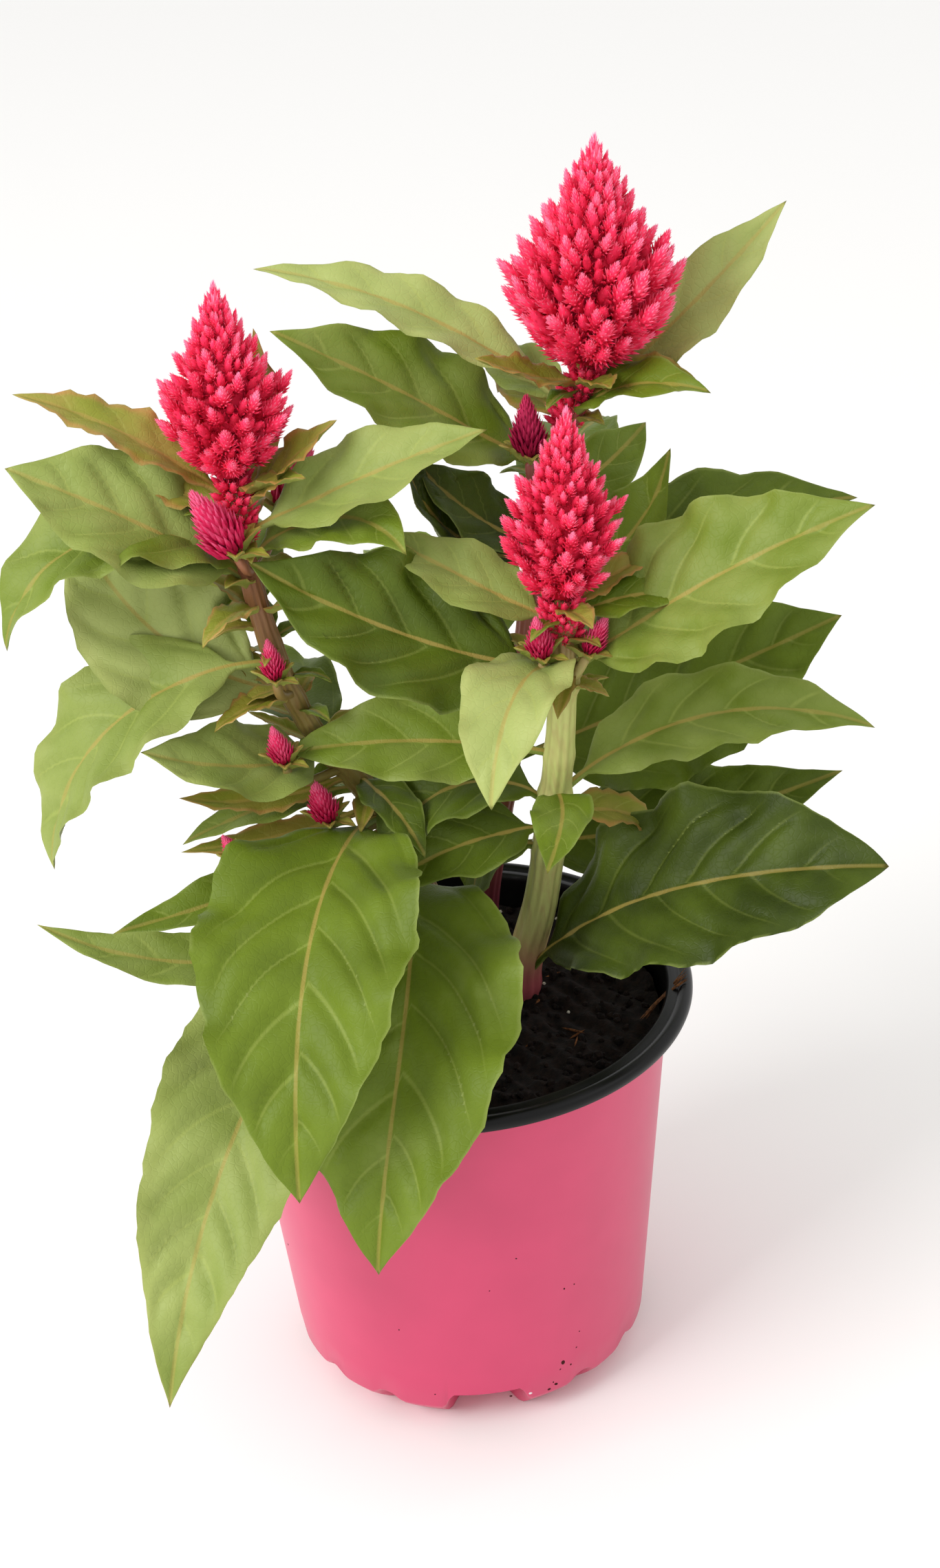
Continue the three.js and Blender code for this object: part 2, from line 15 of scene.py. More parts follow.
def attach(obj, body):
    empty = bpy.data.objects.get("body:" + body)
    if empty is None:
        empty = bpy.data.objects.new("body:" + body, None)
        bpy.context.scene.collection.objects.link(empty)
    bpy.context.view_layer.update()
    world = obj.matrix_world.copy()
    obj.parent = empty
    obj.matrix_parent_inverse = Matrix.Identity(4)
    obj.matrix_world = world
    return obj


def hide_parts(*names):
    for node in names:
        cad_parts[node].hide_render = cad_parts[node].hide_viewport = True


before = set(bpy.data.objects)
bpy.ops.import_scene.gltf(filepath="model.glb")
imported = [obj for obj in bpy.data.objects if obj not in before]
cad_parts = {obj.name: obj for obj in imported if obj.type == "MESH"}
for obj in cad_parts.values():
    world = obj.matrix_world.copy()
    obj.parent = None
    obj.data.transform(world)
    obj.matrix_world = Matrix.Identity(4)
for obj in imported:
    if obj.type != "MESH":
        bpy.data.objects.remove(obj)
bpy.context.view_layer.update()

LOG = logging.getLogger("potted celosia")
MM = 0.001
GOLDEN_ANGLE = math.radians(137.5)
BODY = "root"

Point = tuple[float, float, float]
Piece = bpy.types.Object
AddNode = Callable[..., bpy.types.Node]


def linear(colour: str) -> tuple[float, float, float, float]:
    """Turns an sRGB hex colour into linear light.

    Args:
        colour: the colour as #rrggbb.

    Returns:
        Red, green, blue and a full alpha.
    """
    parts = [int(colour[i:i + 2], 16) / 255 for i in (1, 3, 5)]
    light = [c / 12.92 if c <= 0.04045 else ((c + 0.055) / 1.055) ** 2.4 for c in parts]
    return (light[0], light[1], light[2], 1.0)


def mix(start: Any, end: Any, share: Any) -> Any:
    """Returns the value that lies a share of the way from start to end."""
    return start + (end - start) * share


def smooth_step(low: float, high: float, value: np.ndarray) -> np.ndarray:
    """Returns 0 below low and 1 above high, with a soft change between them."""
    share = np.clip((value - low) / (high - low), 0, 1)
    return share * share * (3 - 2 * share)


def unit(vectors: np.ndarray) -> np.ndarray:
    """Returns the vectors with length 1."""
    return vectors / np.linalg.norm(vectors, axis=-1, keepdims=True)


# Materials

def add_node(
    material: bpy.types.Material, kind: str, inputs: dict | None = None, **settings: Any
) -> bpy.types.Node:
    """Adds one node to a material, with its settings, values and links.

    A Mix node takes its share as input 0 and its colours as 6 and 7. A MapRange node takes its value as
    input 0, the range of that as 1 and 2, and the new range as 3 and 4.

    Args:
        material: the material that gets the node.
        kind: the node's type without the leading ShaderNode.
        inputs: for each input, by name or number, a value, a hex colour, a socket, or a node, which stands
            for its first output in use.
        **settings: the node's own options.

    Returns:
        The new node.
    """
    made = material.node_tree.nodes.new("ShaderNode" + kind)
    for name, value in settings.items():
        setattr(made, name, value)
    for key, value in (inputs or {}).items():
        if isinstance(value, bpy.types.Node):
            value = next(socket for socket in value.outputs if socket.enabled)
        if isinstance(value, bpy.types.NodeSocket):
            material.node_tree.links.new(value, made.inputs[key])
        else:
            made.inputs[key].default_value = linear(value) if isinstance(value, str) else value
    return made


def grain(size: float) -> float:
    """Returns the texture scale that draws features of a size in millimetres."""
    return 1 / (size * MM)


@dataclass(frozen=True)
class Finish:
    """What a surface is made of: each finish adds its own nodes before one shader."""

    name: str

    def make(self) -> bpy.types.Material:
        """Returns the finish as a new material."""
        material = bpy.data.materials.new(self.name)
        material.use_nodes = True
        material.node_tree.nodes.clear()
        add = partial(add_node, material)
        shader = add("BsdfPrincipled", self.look(add, add("TexCoord").outputs["Object"]))
        add("OutputMaterial", {"Surface": shader})
        return material

    def look(self, add: AddNode, place: bpy.types.NodeSocket) -> dict[str, Any]:
        """Adds the nodes that give the finish its look.

        Args:
            add: adds a node to the material.
            place: the socket that gives the place on the piece.

        Returns:
            The shader's inputs.
        """
        raise NotImplementedError


@dataclass(frozen=True)
class FormedPolypropylene(Finish):
    """Polypropylene sheet, vacuum formed and coloured through: even, satin, with faint waves in its gloss."""

    colour: str
    shade: str
    roughness: float
    gloss: float = 0.5
    wave_size: float = 14.0
    wave_depth: float = 0.05

    def look(self, add: AddNode, place: bpy.types.NodeSocket) -> dict[str, Any]:
        """Adds the slow waves of a formed sheet. See Finish."""
        waves = add("TexNoise", {"Vector": place, "Scale": grain(self.wave_size), "Detail": 2.0})
        tone = add("Mix", {0: waves, 6: self.colour, 7: self.shade}, data_type="RGBA")
        bump = add("Bump", {"Strength": 0.25, "Distance": self.wave_depth * MM, "Height": waves})
        return {"Base Color": tone, "Roughness": self.roughness, "IOR": 1.49,
                "Specular IOR Level": self.gloss, "Normal": bump}


@dataclass(frozen=True)
class LooseMatter(Finish):
    """Peat, perlite or dried fibre: dull, with a coarse grain that breaks the light up."""

    colour: str
    shade: str
    grain_size: float
    roughness: float = 0.95

    def look(self, add: AddNode, place: bpy.types.NodeSocket) -> dict[str, Any]:
        """Adds the crumbly grain. See Finish."""
        crumbs = add("TexNoise", {
            "Vector": place, "Scale": grain(self.grain_size), "Detail": 4.0, "Roughness": 0.7})
        contrast = add("MapRange", {0: crumbs, 1: 0.35, 2: 0.68}, interpolation_type="SMOOTHSTEP")
        tone = add("Mix", {0: contrast, 6: self.shade, 7: self.colour}, data_type="RGBA")
        bump = add("Bump", {"Strength": 0.8, "Distance": 0.4 * self.grain_size * MM, "Height": crumbs})
        return {"Base Color": tone, "Roughness": self.roughness, "Specular IOR Level": 0.25, "Normal": bump}


@dataclass(frozen=True)
class StemSkin(Finish):
    """Living celosia stem: a soft gloss, fine lengthwise ribs, and a flush of red that fades with height."""

    foot: str
    middle: str
    top: str
    foot_height: float
    middle_height: float
    turn_height: float
    top_height: float
    rib_size: float = 1.1

    def look(self, add: AddNode, place: bpy.types.NodeSocket) -> dict[str, Any]:
        """Adds the flush from foot to top and the streaks along the ribs. See Finish."""
        height = add("SeparateXYZ", {0: place}).outputs[2]
        low, high = (
            add("MapRange", {0: height, 1: start * MM, 2: end * MM}, interpolation_type="SMOOTHSTEP")
            for start, end in (
                (self.foot_height, self.middle_height), (self.turn_height, self.top_height)))
        drawn = add("Mapping", {"Vector": place, "Scale": (1.0, 1.0, 0.06)})
        ribs = add("TexNoise", {"Vector": drawn, "Scale": grain(self.rib_size), "Detail": 2.0})
        streaks = add("MapRange", {0: ribs, 1: 0.4, 2: 0.75, 3: 0.0, 4: 0.26})
        tone: Any = self.foot
        for share, colour in ((low, self.middle), (high, self.top), (streaks, self.foot)):
            tone = add("Mix", {0: share, 6: tone, 7: colour}, data_type="RGBA")
        bump = add("Bump", {"Strength": 0.5, "Distance": 0.3 * MM, "Height": ribs})
        return {"Base Color": tone, "Roughness": 0.48, "Specular IOR Level": 0.35, "Normal": bump}


@dataclass(frozen=True)
class LeafBlade(Finish):
    """Living celosia leaf: satin green with a pale net of veins, paler below, tanned at the bracts' edges,
    and darker as painted shade on leaves that sit in shadow.
    """

    name: str = "celosia leaf blade"
    # dark, middle and light span each leaf's lightness; the dark end is painted shade for leaves that sit in
    # shadow
    dark: str = "#2f3c06"
    middle: str = "#65781c"
    light: str = "#a2ad66"
    underside: str = "#87934c"
    vein: str = "#a6b05a"
    midrib: str = "#a8924a"
    sallow: str = "#94902e"
    tan: str = "#ad7f47"
    vein_half_width: float = 0.035
    midrib_half_width: float = 0.5
    vein_strength: float = 0.28
    patch_size: float = 16.0
    net_size: float = 1.6

    def look(self, add: AddNode, place: bpy.types.NodeSocket) -> dict[str, Any]:
        """Reads the vein map and the tints that each leaf carries. See Finish."""
        tint, spot = (
            add("SeparateColor", {0: add("Attribute", attribute_name=name)}).outputs
            for name in ("leaf_tint", "leaf_place"))
        veins = add("SeparateXYZ", {0: add("UVMap", uv_map="veins")}).outputs

        # The green: each leaf's lightness, partly its own tone and partly painted shade on leaves in shadow,
        # in soft patches
        patches = add("TexNoise", {"Vector": place, "Scale": grain(self.patch_size), "Detail": 3.0})
        shift = add("MapRange", {0: patches, 1: 0.3, 2: 0.7, 3: -0.1, 4: 0.1})
        lightness = add("Math", {0: tint[0], 1: shift}, operation="ADD", use_clamp=True)
        deep = add("MapRange", {0: lightness, 1: 0.0, 2: 0.5})
        toward_light = add("MapRange", {0: lightness, 1: 0.5, 2: 1.0})

        # Bracts are yellower all over
        bract = add("Math", {0: tint[1], 1: 0.6}, operation="MULTIPLY", use_clamp=True)

        # Side veins lie where the first vein coordinate is a whole number
        nearest = add("Math", {0: veins[0]}, operation="ROUND")
        aside = add("Math", {0: veins[0], 1: nearest}, operation="SUBTRACT")
        distance = add("Math", {0: aside}, operation="ABSOLUTE")
        half = self.vein_half_width
        line = add(
            "MapRange", {0: distance, 1: 0.2 * half, 2: 1.6 * half, 3: 1.0, 4: 0.0},
            interpolation_type="SMOOTHSTEP")
        fading = add("Math", {0: line, 1: spot[2]}, operation="MULTIPLY")
        contrast = add(
            "MapRange", {0: lightness, 1: 0.0, 2: 0.6, 3: 0.3 * self.vein_strength, 4: self.vein_strength})
        side_vein = add("Math", {0: fading, 1: contrast}, operation="MULTIPLY")

        # The midrib: the second vein coordinate is the distance from it
        off_rib = add("Math", {0: veins[1]}, operation="ABSOLUTE")
        half = self.midrib_half_width
        rib = add(
            "MapRange", {0: off_rib, 1: 0.55 * half, 2: 1.3 * half, 3: 0.9, 4: 0.0},
            interpolation_type="SMOOTHSTEP")
        rib_fading = add("MapRange", {0: spot[1], 1: 0.1, 2: 1.0, 3: 1.0, 4: 0.35})
        rib_share = add("Math", {0: rib, 1: rib_fading}, operation="MULTIPLY")

        # Tanned edges of the bracts and of older leaves
        rim = add("MapRange", {0: spot[0], 1: 0.62, 2: 1.0}, interpolation_type="SMOOTHSTEP")
        blotches = add("MapRange", {0: patches, 1: 0.42, 2: 0.75, 3: 0.0, 4: 0.5})
        rim_patches = add("Math", {0: rim, 1: blotches}, operation="ADD")
        tanned = add("Math", {0: rim_patches, 1: tint[1]}, operation="MULTIPLY", use_clamp=True)

        # The paler underside, and each colour laid over the one before it
        below = add("Math", {0: tint[2], 1: 0.55}, operation="MULTIPLY")
        colour: Any = self.dark
        for share, tone in (
            (deep, self.middle), (toward_light, self.light), (bract, self.sallow), (side_vein, self.vein),
            (rib_share, self.midrib), (tanned, self.tan), (below, self.underside),
        ):
            colour = add("Mix", {0: share, 6: colour, 7: tone}, data_type="RGBA")

        net = add(
            "TexVoronoi", {"Vector": place, "Scale": grain(self.net_size)}, feature="DISTANCE_TO_EDGE")
        net_height = add("MapRange", {0: net, 1: 0.0, 2: 0.12})
        bump = add("Bump", {"Strength": 0.35, "Distance": 0.12 * MM, "Height": net_height})
        return {"Base Color": colour, "Roughness": 0.5, "Specular IOR Level": 0.22, "Normal": bump}


@dataclass(frozen=True)
class PlumeFloret(Finish):
    """Papery celosia florets: matte, hot pink to pale pink at their points, and deep red inside the plume,
    partly their own colour and partly painted shade.
    """

    # heart is the florets' own deep red base, used also as painted shade inside the plume
    heart: str = "#a60a20"
    body: str = "#f6345f"
    point: str = "#ff9abc"
    fleck_size: float = 2.5

    def look(self, add: AddNode, place: bpy.types.NodeSocket) -> dict[str, Any]:
        """Reads how far out each floret stands, which also carries painted shade deep and low in the plume
        and painted light at its top. See Finish.
        """
        floret_shade_and_tone = add("SeparateColor", {0: add("Attribute", attribute_name="floret_shade_and_tone")})
        flecks = add("TexNoise", {"Vector": place, "Scale": grain(self.fleck_size), "Detail": 2.0})
        shift = add("MapRange", {0: flecks, 1: 0.3, 2: 0.7, 3: -0.15, 4: 0.15})
        outness = add("Math", {0: floret_shade_and_tone, 1: shift}, operation="ADD", use_clamp=True)
        colour: Any = self.heart
        for low, high, tone in ((0.05, 0.5, self.body), (0.5, 1.0, self.point)):
            share = add("MapRange", {0: outness, 1: low, 2: high})
            colour = add("Mix", {0: share, 6: colour, 7: tone}, data_type="RGBA")
        return {"Base Color": colour, "Roughness": 0.6, "Specular IOR Level": 0.15}


@dataclass(frozen=True)
class BackdropPaper(Finish):
    """Matte white backdrop paper: the studio's floor, which takes only a soft shadow."""

    colour: str = "#f4f3f1"

    def look(self, add: AddNode, place: bpy.types.NodeSocket) -> dict[str, Any]:
        """Adds nothing, because the paper is plain. See Finish."""
        return {"Base Color": self.colour, "Roughness": 0.9, "Specular IOR Level": 0.1}


# Modelling helpers

def select(*pieces: Piece) -> None:
    """Selects these pieces alone, and makes the first one active."""
    bpy.ops.object.select_all(action="DESELECT")
    for piece in reversed(pieces):
        piece.select_set(True)
        bpy.context.view_layer.objects.active = piece


def coat(material: bpy.types.Material, *pieces: Piece) -> None:
    """Gives pieces one more material."""
    for piece in pieces:
        piece.data.materials.append(material)


def flat_grid(name: str, across: int, along: int) -> tuple[Piece, np.ndarray, np.ndarray]:
    """Adds a flat grid that is then shaped into a surface.

    Args:
        name: the piece's name.
        across: faces across the grid.
        along: faces along the grid.

    Returns:
        The piece, and each point's place across (-1 to 1) and along (0 to 1).
    """
    bpy.ops.mesh.primitive_grid_add(x_subdivisions=across, y_subdivisions=along, size=2)
    piece = bpy.context.active_object
    piece.name = name
    flat = np.empty(3 * len(piece.data.vertices))
    piece.data.vertices.foreach_get("co", flat)
    flat = flat.reshape(-1, 3)
    return piece, flat[:, 0], (flat[:, 1] + 1) / 2


def set_points(piece: Piece, points: np.ndarray) -> None:
    """Puts a piece's points at places in millimetres."""
    piece.data.vertices.foreach_set("co", (points * MM).ravel())
    piece.data.update()


def paint(piece: Piece, name: str, *channels: np.ndarray) -> None:
    """Stores up to three numbers for each point as a colour attribute.

    Args:
        piece: the piece.
        name: the attribute's name.
        *channels: the numbers, in the order red, green, blue.
    """
    values = np.ones((len(piece.data.vertices), 4))
    for i, channel in enumerate(channels):
        values[:, i] = channel
    layer = piece.data.attributes.new(name, "FLOAT_COLOR", "POINT")
    layer.data.foreach_set("color", values.ravel())


def map_points(piece: Piece, name: str, across: np.ndarray, along: np.ndarray) -> None:
    """Gives a piece one UV map whose coordinates are numbers for each point."""
    mesh = piece.data
    while mesh.uv_layers:
        mesh.uv_layers.remove(mesh.uv_layers[0])
    corners = np.empty(len(mesh.loops), dtype=np.int32)
    mesh.loops.foreach_get("vertex_index", corners)
    layer = mesh.uv_layers.new(name=name)
    layer.uv.foreach_set("vector", np.stack([across[corners], along[corners]], axis=1).ravel())


def close_seams(piece: Piece) -> None:
    """Merges the points that meet and turns the faces outwards."""
    select(piece)
    bpy.ops.object.mode_set(mode="EDIT")
    bpy.ops.mesh.select_all(action="SELECT")
    bpy.ops.mesh.remove_doubles(threshold=0.002 * MM)
    bpy.ops.mesh.dissolve_degenerate(threshold=0.001 * MM)
    bpy.ops.mesh.normals_make_consistent(inside=False)
    bpy.ops.object.mode_set(mode="OBJECT")


def smooth(piece: Piece, angle: float) -> None:
    """Shades a piece smooth, with crisp edges past an angle in degrees."""
    select(piece)
    bpy.ops.object.shade_smooth_by_angle(angle=math.radians(angle))


def joined(name: str, pieces: list[Piece]) -> Piece:
    """Joins pieces into one, with the first one's name changed to name."""
    select(*pieces)
    bpy.ops.object.join()
    pieces[0].name = name
    pieces[0].data.name = name
    return pieces[0]


def show(piece: Piece, slot: str, *nodes: str) -> None:
    """Lets a finished piece stand for CAD nodes, on the part's one body, and reports it."""
    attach(piece, BODY)
    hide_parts(*nodes)
    faces = sum(len(face.vertices) - 2 for face in piece.data.polygons)
    LOG.info("%s: %d triangles", piece.name, faces)


@dataclass
class Cluster:
    """A small shape that is modelled once and copied many times into one mesh."""

    points: np.ndarray
    faces: np.ndarray
    tint: np.ndarray

    @classmethod
    def of(cls, piece: Piece) -> "Cluster":
        """Takes the shape of a modelled piece in millimetres, and removes the piece."""
        mesh = piece.data
        mesh.calc_loop_triangles()
        points = np.array([vertex.co[:] for vertex in mesh.vertices]) / MM
        faces = np.array([triangle.vertices[:] for triangle in mesh.loop_triangles])
        bpy.data.objects.remove(piece)
        return cls(points, faces, np.zeros(len(points)))

    @classmethod
    def merged(cls, clusters: list["Cluster"]) -> "Cluster":
        """Returns several clusters as one."""
        starts = np.cumsum([0] + [len(c.points) for c in clusters[:-1]])
        return cls(
            np.concatenate([c.points for c in clusters]),
            np.concatenate([c.faces + start for c, start in zip(clusters, starts)]),
            np.concatenate([c.tint for c in clusters]))

    def placed(self, base: np.ndarray, axes: np.ndarray, size: np.ndarray, tint: np.ndarray) -> "Cluster":
        """Returns a copy that is scaled, turned and moved.

        Args:
            base: where the shape's origin goes.
            axes: the directions of the shape's X, Y and Z, as rows.
            size: the scale along each of them.
            tint: the copy's tints, one for each point.

        Returns:
            The copy.
        """
        return Cluster(self.points * size @ axes + base, self.faces, tint)

    def piece(self, name: str, attribute: str = "") -> Piece:
        """Returns the cluster as an object, with its tints in a colour attribute if that is named."""
        mesh = bpy.data.meshes.new(name)
        mesh.from_pydata((self.points * MM).tolist(), [], self.faces.tolist())
        made = bpy.data.objects.new(name, mesh)
        bpy.context.scene.collection.objects.link(made)
        if attribute:
            paint(made, attribute, self.tint)
        return made


def axes_along(direction: np.ndarray, turn: float) -> np.ndarray:
    """Returns three square directions as rows, the last one along direction, turned about it by an angle."""
    helper = np.array([0.0, 0.0, 1.0]) if abs(direction[2]) < 0.9 else np.array([1.0, 0.0, 0.0])
    first = unit(np.cross(helper, direction))
    second = np.cross(direction, first)
    return np.stack([
        first * math.cos(turn) + second * math.sin(turn),
        second * math.cos(turn) - first * math.sin(turn),
        direction])


def leaning(axes: np.ndarray, bearing: float, lean: float) -> tuple[np.ndarray, np.ndarray]:
    """Finds the directions at a bearing about an axis.

    Args:
        axes: two directions square to the axis, and the axis, as rows.
        bearing: the angle about the axis.
        lean: the angle away from the axis.

    Returns:
        The direction straight outwards, and the one that leans that way.
    """
    outward = axes[0] * math.cos(bearing) + axes[1] * math.sin(bearing)
    return outward, axes[2] * math.cos(lean) + outward * math.sin(lean)


# The pot

@dataclass
class Pot:
    """A formed grower's pot: pink outside, with a black lining that rolls over into the rim."""

    rim_radius: float = 60.0
    rim_width: float = 6.0
    height: float = 105.0
    base_radius: float = 37.5
    chamfer_height: float = 8.0
    body_foot_radius: float = 45.0
    wall: float = 0.8
    floor: float = 1.2
    foot_places: int = 16
    first_notch: float = -86.5
    notch_top: float = 12.0
    narrow_cut: float = 0.5
    wide_edge: tuple[float, float] = (0.47, 0.64)
    narrow_edge: tuple[float, float] = (0.04, 0.28)
    drain_radius: float = 3.0
    drain_circle: float = 24.0
    rim_drop: float = 3.5
    sides: int = 256
    outside_finish: FormedPolypropylene = FormedPolypropylene(
        "pink formed polypropylene", "#cf4069", "#c23a61", 0.34)
    lining_finish: FormedPolypropylene = FormedPolypropylene(
        "black formed polypropylene", "#050505", "#080808", 0.3, gloss=0.22)
    splash_finish: LooseMatter = LooseMatter("dried soil splash", "#4a1512", "#2a0c0b", 0.6)
    chalk_finish: LooseMatter = LooseMatter("chalky water spot", "#f2e6ea", "#d9c8ce", 0.5)

    def profile(self) -> np.ndarray:
        """Returns the wall's outline from the base's middle out, up, over and in.

        Returns:
            A row for each point: its radius and height on a foot, and its radius and height in a notch.
        """
        top = self.height - self.rim_drop
        inner = self.rim_radius - self.rim_width
        base, body, rise = self.base_radius, self.body_foot_radius, self.chamfer_height
        ceiling, rim, high = self.notch_top, self.rim_radius, self.height
        under_edge = [
            ((0, 0), (0, 0), 2),
            ((base - 5, 0), (base - 8, 0), 2),
            ((base - 0.6, 0), (base - 6.8, 0.1), 1),
            ((base, 0.3), (base - 6.4, 0.5), 4),
            ((base + 3.3, rise - 4.7), (base - 2, ceiling - 1.1), 4),
            ((body - 1, rise - 1.5), (body - 0.6, ceiling - 0.4), 1),
            ((body - 0.35, rise - 0.7), (body + 0.05, ceiling - 0.3), 1),
            ((body, rise), (body + 0.4, ceiling), 12)]
        wall_and_rim = [
            (inner, top - 0.1), (inner + 0.3, top), (inner + 3, top - 0.05), (rim - 1.0, top),
            (rim - 0.3, top + 0.3), (rim, top + 1.1), (rim, top + 2.0), (rim - 0.35, top + 2.8),
            (rim - 1.1, high - 0.12), (rim - 2.0, high), (rim - 3.0, high - 0.35), (rim - 3.5, high - 0.8),
            (inner + 1.9, high - 0.75), (inner + 1.0, high - 0.45), (inner + 0.2, high - 0.55),
            (inner - 0.4, high - 1.2), (inner - 0.6, high - 2.2), (inner - self.wall, top)]
        lining = [
            ((inner - self.wall - 0.4, top - 4), (inner - self.wall - 0.4, top - 4), 8),
            ((body - self.wall, rise + 0.6), (body - 0.4, ceiling + 0.9), 1),
            ((body - 2, rise - 0.8), (body - 1.6, ceiling + 0.6), 4),
            ((base + 2.6, rise - 3.7), (base - 2.7, ceiling), 4),
            ((base - 0.4, self.floor), (base - 7.3, self.floor + 0.3), 1),
            ((base - 5.4, self.floor), (base - 8.5, self.floor), 2),
            ((0, self.floor), (0, self.floor), 1)]
        corners = under_edge + [(point, point, 1) for point in wall_and_rim] + lining
        rows = []
        for (foot, notch, steps), (next_foot, next_notch, _) in zip(corners, corners[1:]):
            start, end = np.array([*foot, *notch], float), np.array([*next_foot, *next_notch], float)
            rows += [mix(start, end, k / steps) for k in range(steps)]
        return np.array([*rows, end])

    def cut(self, bearing: np.ndarray, spread: np.ndarray) -> np.ndarray:
        """Returns how far the under edge is cut away at each bearing.

        Args:
            bearing: the bearings.
            spread: how much wider the notches are, in places of the foot.

        Returns:
            0 on the feet, 1 in the four wide notches, and a part of that in the narrow gaps between feet.
        """
        places = (bearing - math.radians(self.first_notch)) / (2 * math.pi / self.foot_places)
        in_group = places % 4
        wide = 1 - smooth_step(*self.wide_edge, np.minimum(in_group, 4 - in_group) - spread)
        off_gap = np.minimum(np.abs(in_group - 1.5), np.abs(in_group - 2.5))
        narrow = self.narrow_cut * (1 - smooth_step(*self.narrow_edge, off_gap - spread))
        return np.maximum(wide, narrow)

    def build(self) -> Piece:
        """Returns the pot with its drain holes, two finishes and a few splashes of soil."""
        outline = self.profile()
        pot, across, along = flat_grid("Pot", self.sides, len(outline) - 1)
        row = np.round(along * (len(outline) - 1)).astype(int)
        bearing = math.pi * across
        lined = row > np.argmax(outline[:, 1])
        cut = self.cut(bearing, np.where(lined, self.wall / 8, 0.0))
        radius = mix(outline[row, 0], outline[row, 2], cut)
        height = mix(outline[row, 1], outline[row, 3], cut)
        set_points(pot, np.stack([radius * np.cos(bearing), radius * np.sin(bearing), height], axis=1))
        close_seams(pot)
        self.drill(pot)
        coat(self.outside_finish.make(), pot)
        coat(self.lining_finish.make(), pot)
        rim_bottom = (self.height - self.rim_drop) * MM
        for face in pot.data.polygons:
            outward = Vector((face.center.x, face.center.y, 0)).normalized()
            lining = face.normal.dot(outward) < -0.2 or face.normal.z > 0.7
            face.material_index = int(face.center.z > rim_bottom or lining)
        smooth(pot, 32)
        return joined("Pot", [pot, *self.splashes()])

    def drill(self, pot: Piece) -> None:
        """Cuts the four drain holes through the pot's floor."""
        for k in range(4):
            bearing = math.radians(self.first_notch + 45 + 90 * k)
            bpy.ops.mesh.primitive_cylinder_add(
                vertices=24, radius=self.drain_radius * MM, depth=4 * self.floor * MM,
                location=(self.drain_circle * math.cos(bearing) * MM,
                          self.drain_circle * math.sin(bearing) * MM, self.floor / 2 * MM))
            drill = bpy.context.active_object
            cut = pot.modifiers.new("drain hole", "BOOLEAN")
            cut.object = drill
            cut.operation = "DIFFERENCE"
            bpy.context.view_layer.objects.active = pot
            bpy.ops.object.modifier_apply(modifier=cut.name)
            bpy.data.objects.remove(drill)

    def splashes(self) -> list[Piece]:
        """Returns small flat splashes of dried soil, and one pale water spot, on the pot's side."""
        # The bearing, height and size of each
        spots = [(-61, 16, 1.1), (-63.5, 9.5, 0.8), (-66, 8.6, 0.7), (-64.5, 10.5, 0.4), (-58, 14, 0.5),
                 (-61, 41, 0.5), (-57.5, 41, 0.4), (-62, 14, 0.4), (-56, 19, 0.4), (-55, 24, 0.35),
                 (-76, 56, 0.4), (-79, 10, 0.6), (-103, 12, 0.35), (-112, 33, 0.35), (-84, 47, 0.3),
                 (20, 30, 0.6), (75, 22, 0.7), (81, 26, 0.4), (150, 18, 0.8), (157, 24, 0.4), (-160, 40, 0.5)]
        bpy.ops.mesh.primitive_ico_sphere_add(subdivisions=2, radius=MM, location=(0, 0, 0))
        drop = Cluster.of(bpy.context.active_object)
        dark = Cluster.merged([self.splash(drop, *spot) for spot in spots]).piece("splashes")
        pale = self.splash(drop, -72.5, 9.3, 0.7).piece("water spot")
        coat(self.splash_finish.make(), dark)
        coat(self.chalk_finish.make(), pale)
        return [dark, pale]

    def splash(self, drop: Cluster, bearing: float, height: float, size: float) -> Cluster:
        """Returns one flat drop on the pot's side, at a bearing in degrees and a height."""
        slope = (self.rim_radius - self.rim_width - self.body_foot_radius) / (
            self.height - self.rim_drop - self.chamfer_height)
        radius = self.body_foot_radius + slope * (height - self.chamfer_height)
        angle = math.radians(bearing)
        outward = unit(np.array([math.cos(angle), math.sin(angle), -slope]))
        base = np.array([radius * math.cos(angle), radius * math.sin(angle), height])
        return drop.placed(
            base, axes_along(outward, bearing), np.array([0.7 * size, 0.5 * size, 0.08]), drop.tint)

    def dress(self) -> None:
        """Builds the pot and shows it."""
        show(self.build(), "pot_plastic", "pot")


# The soil

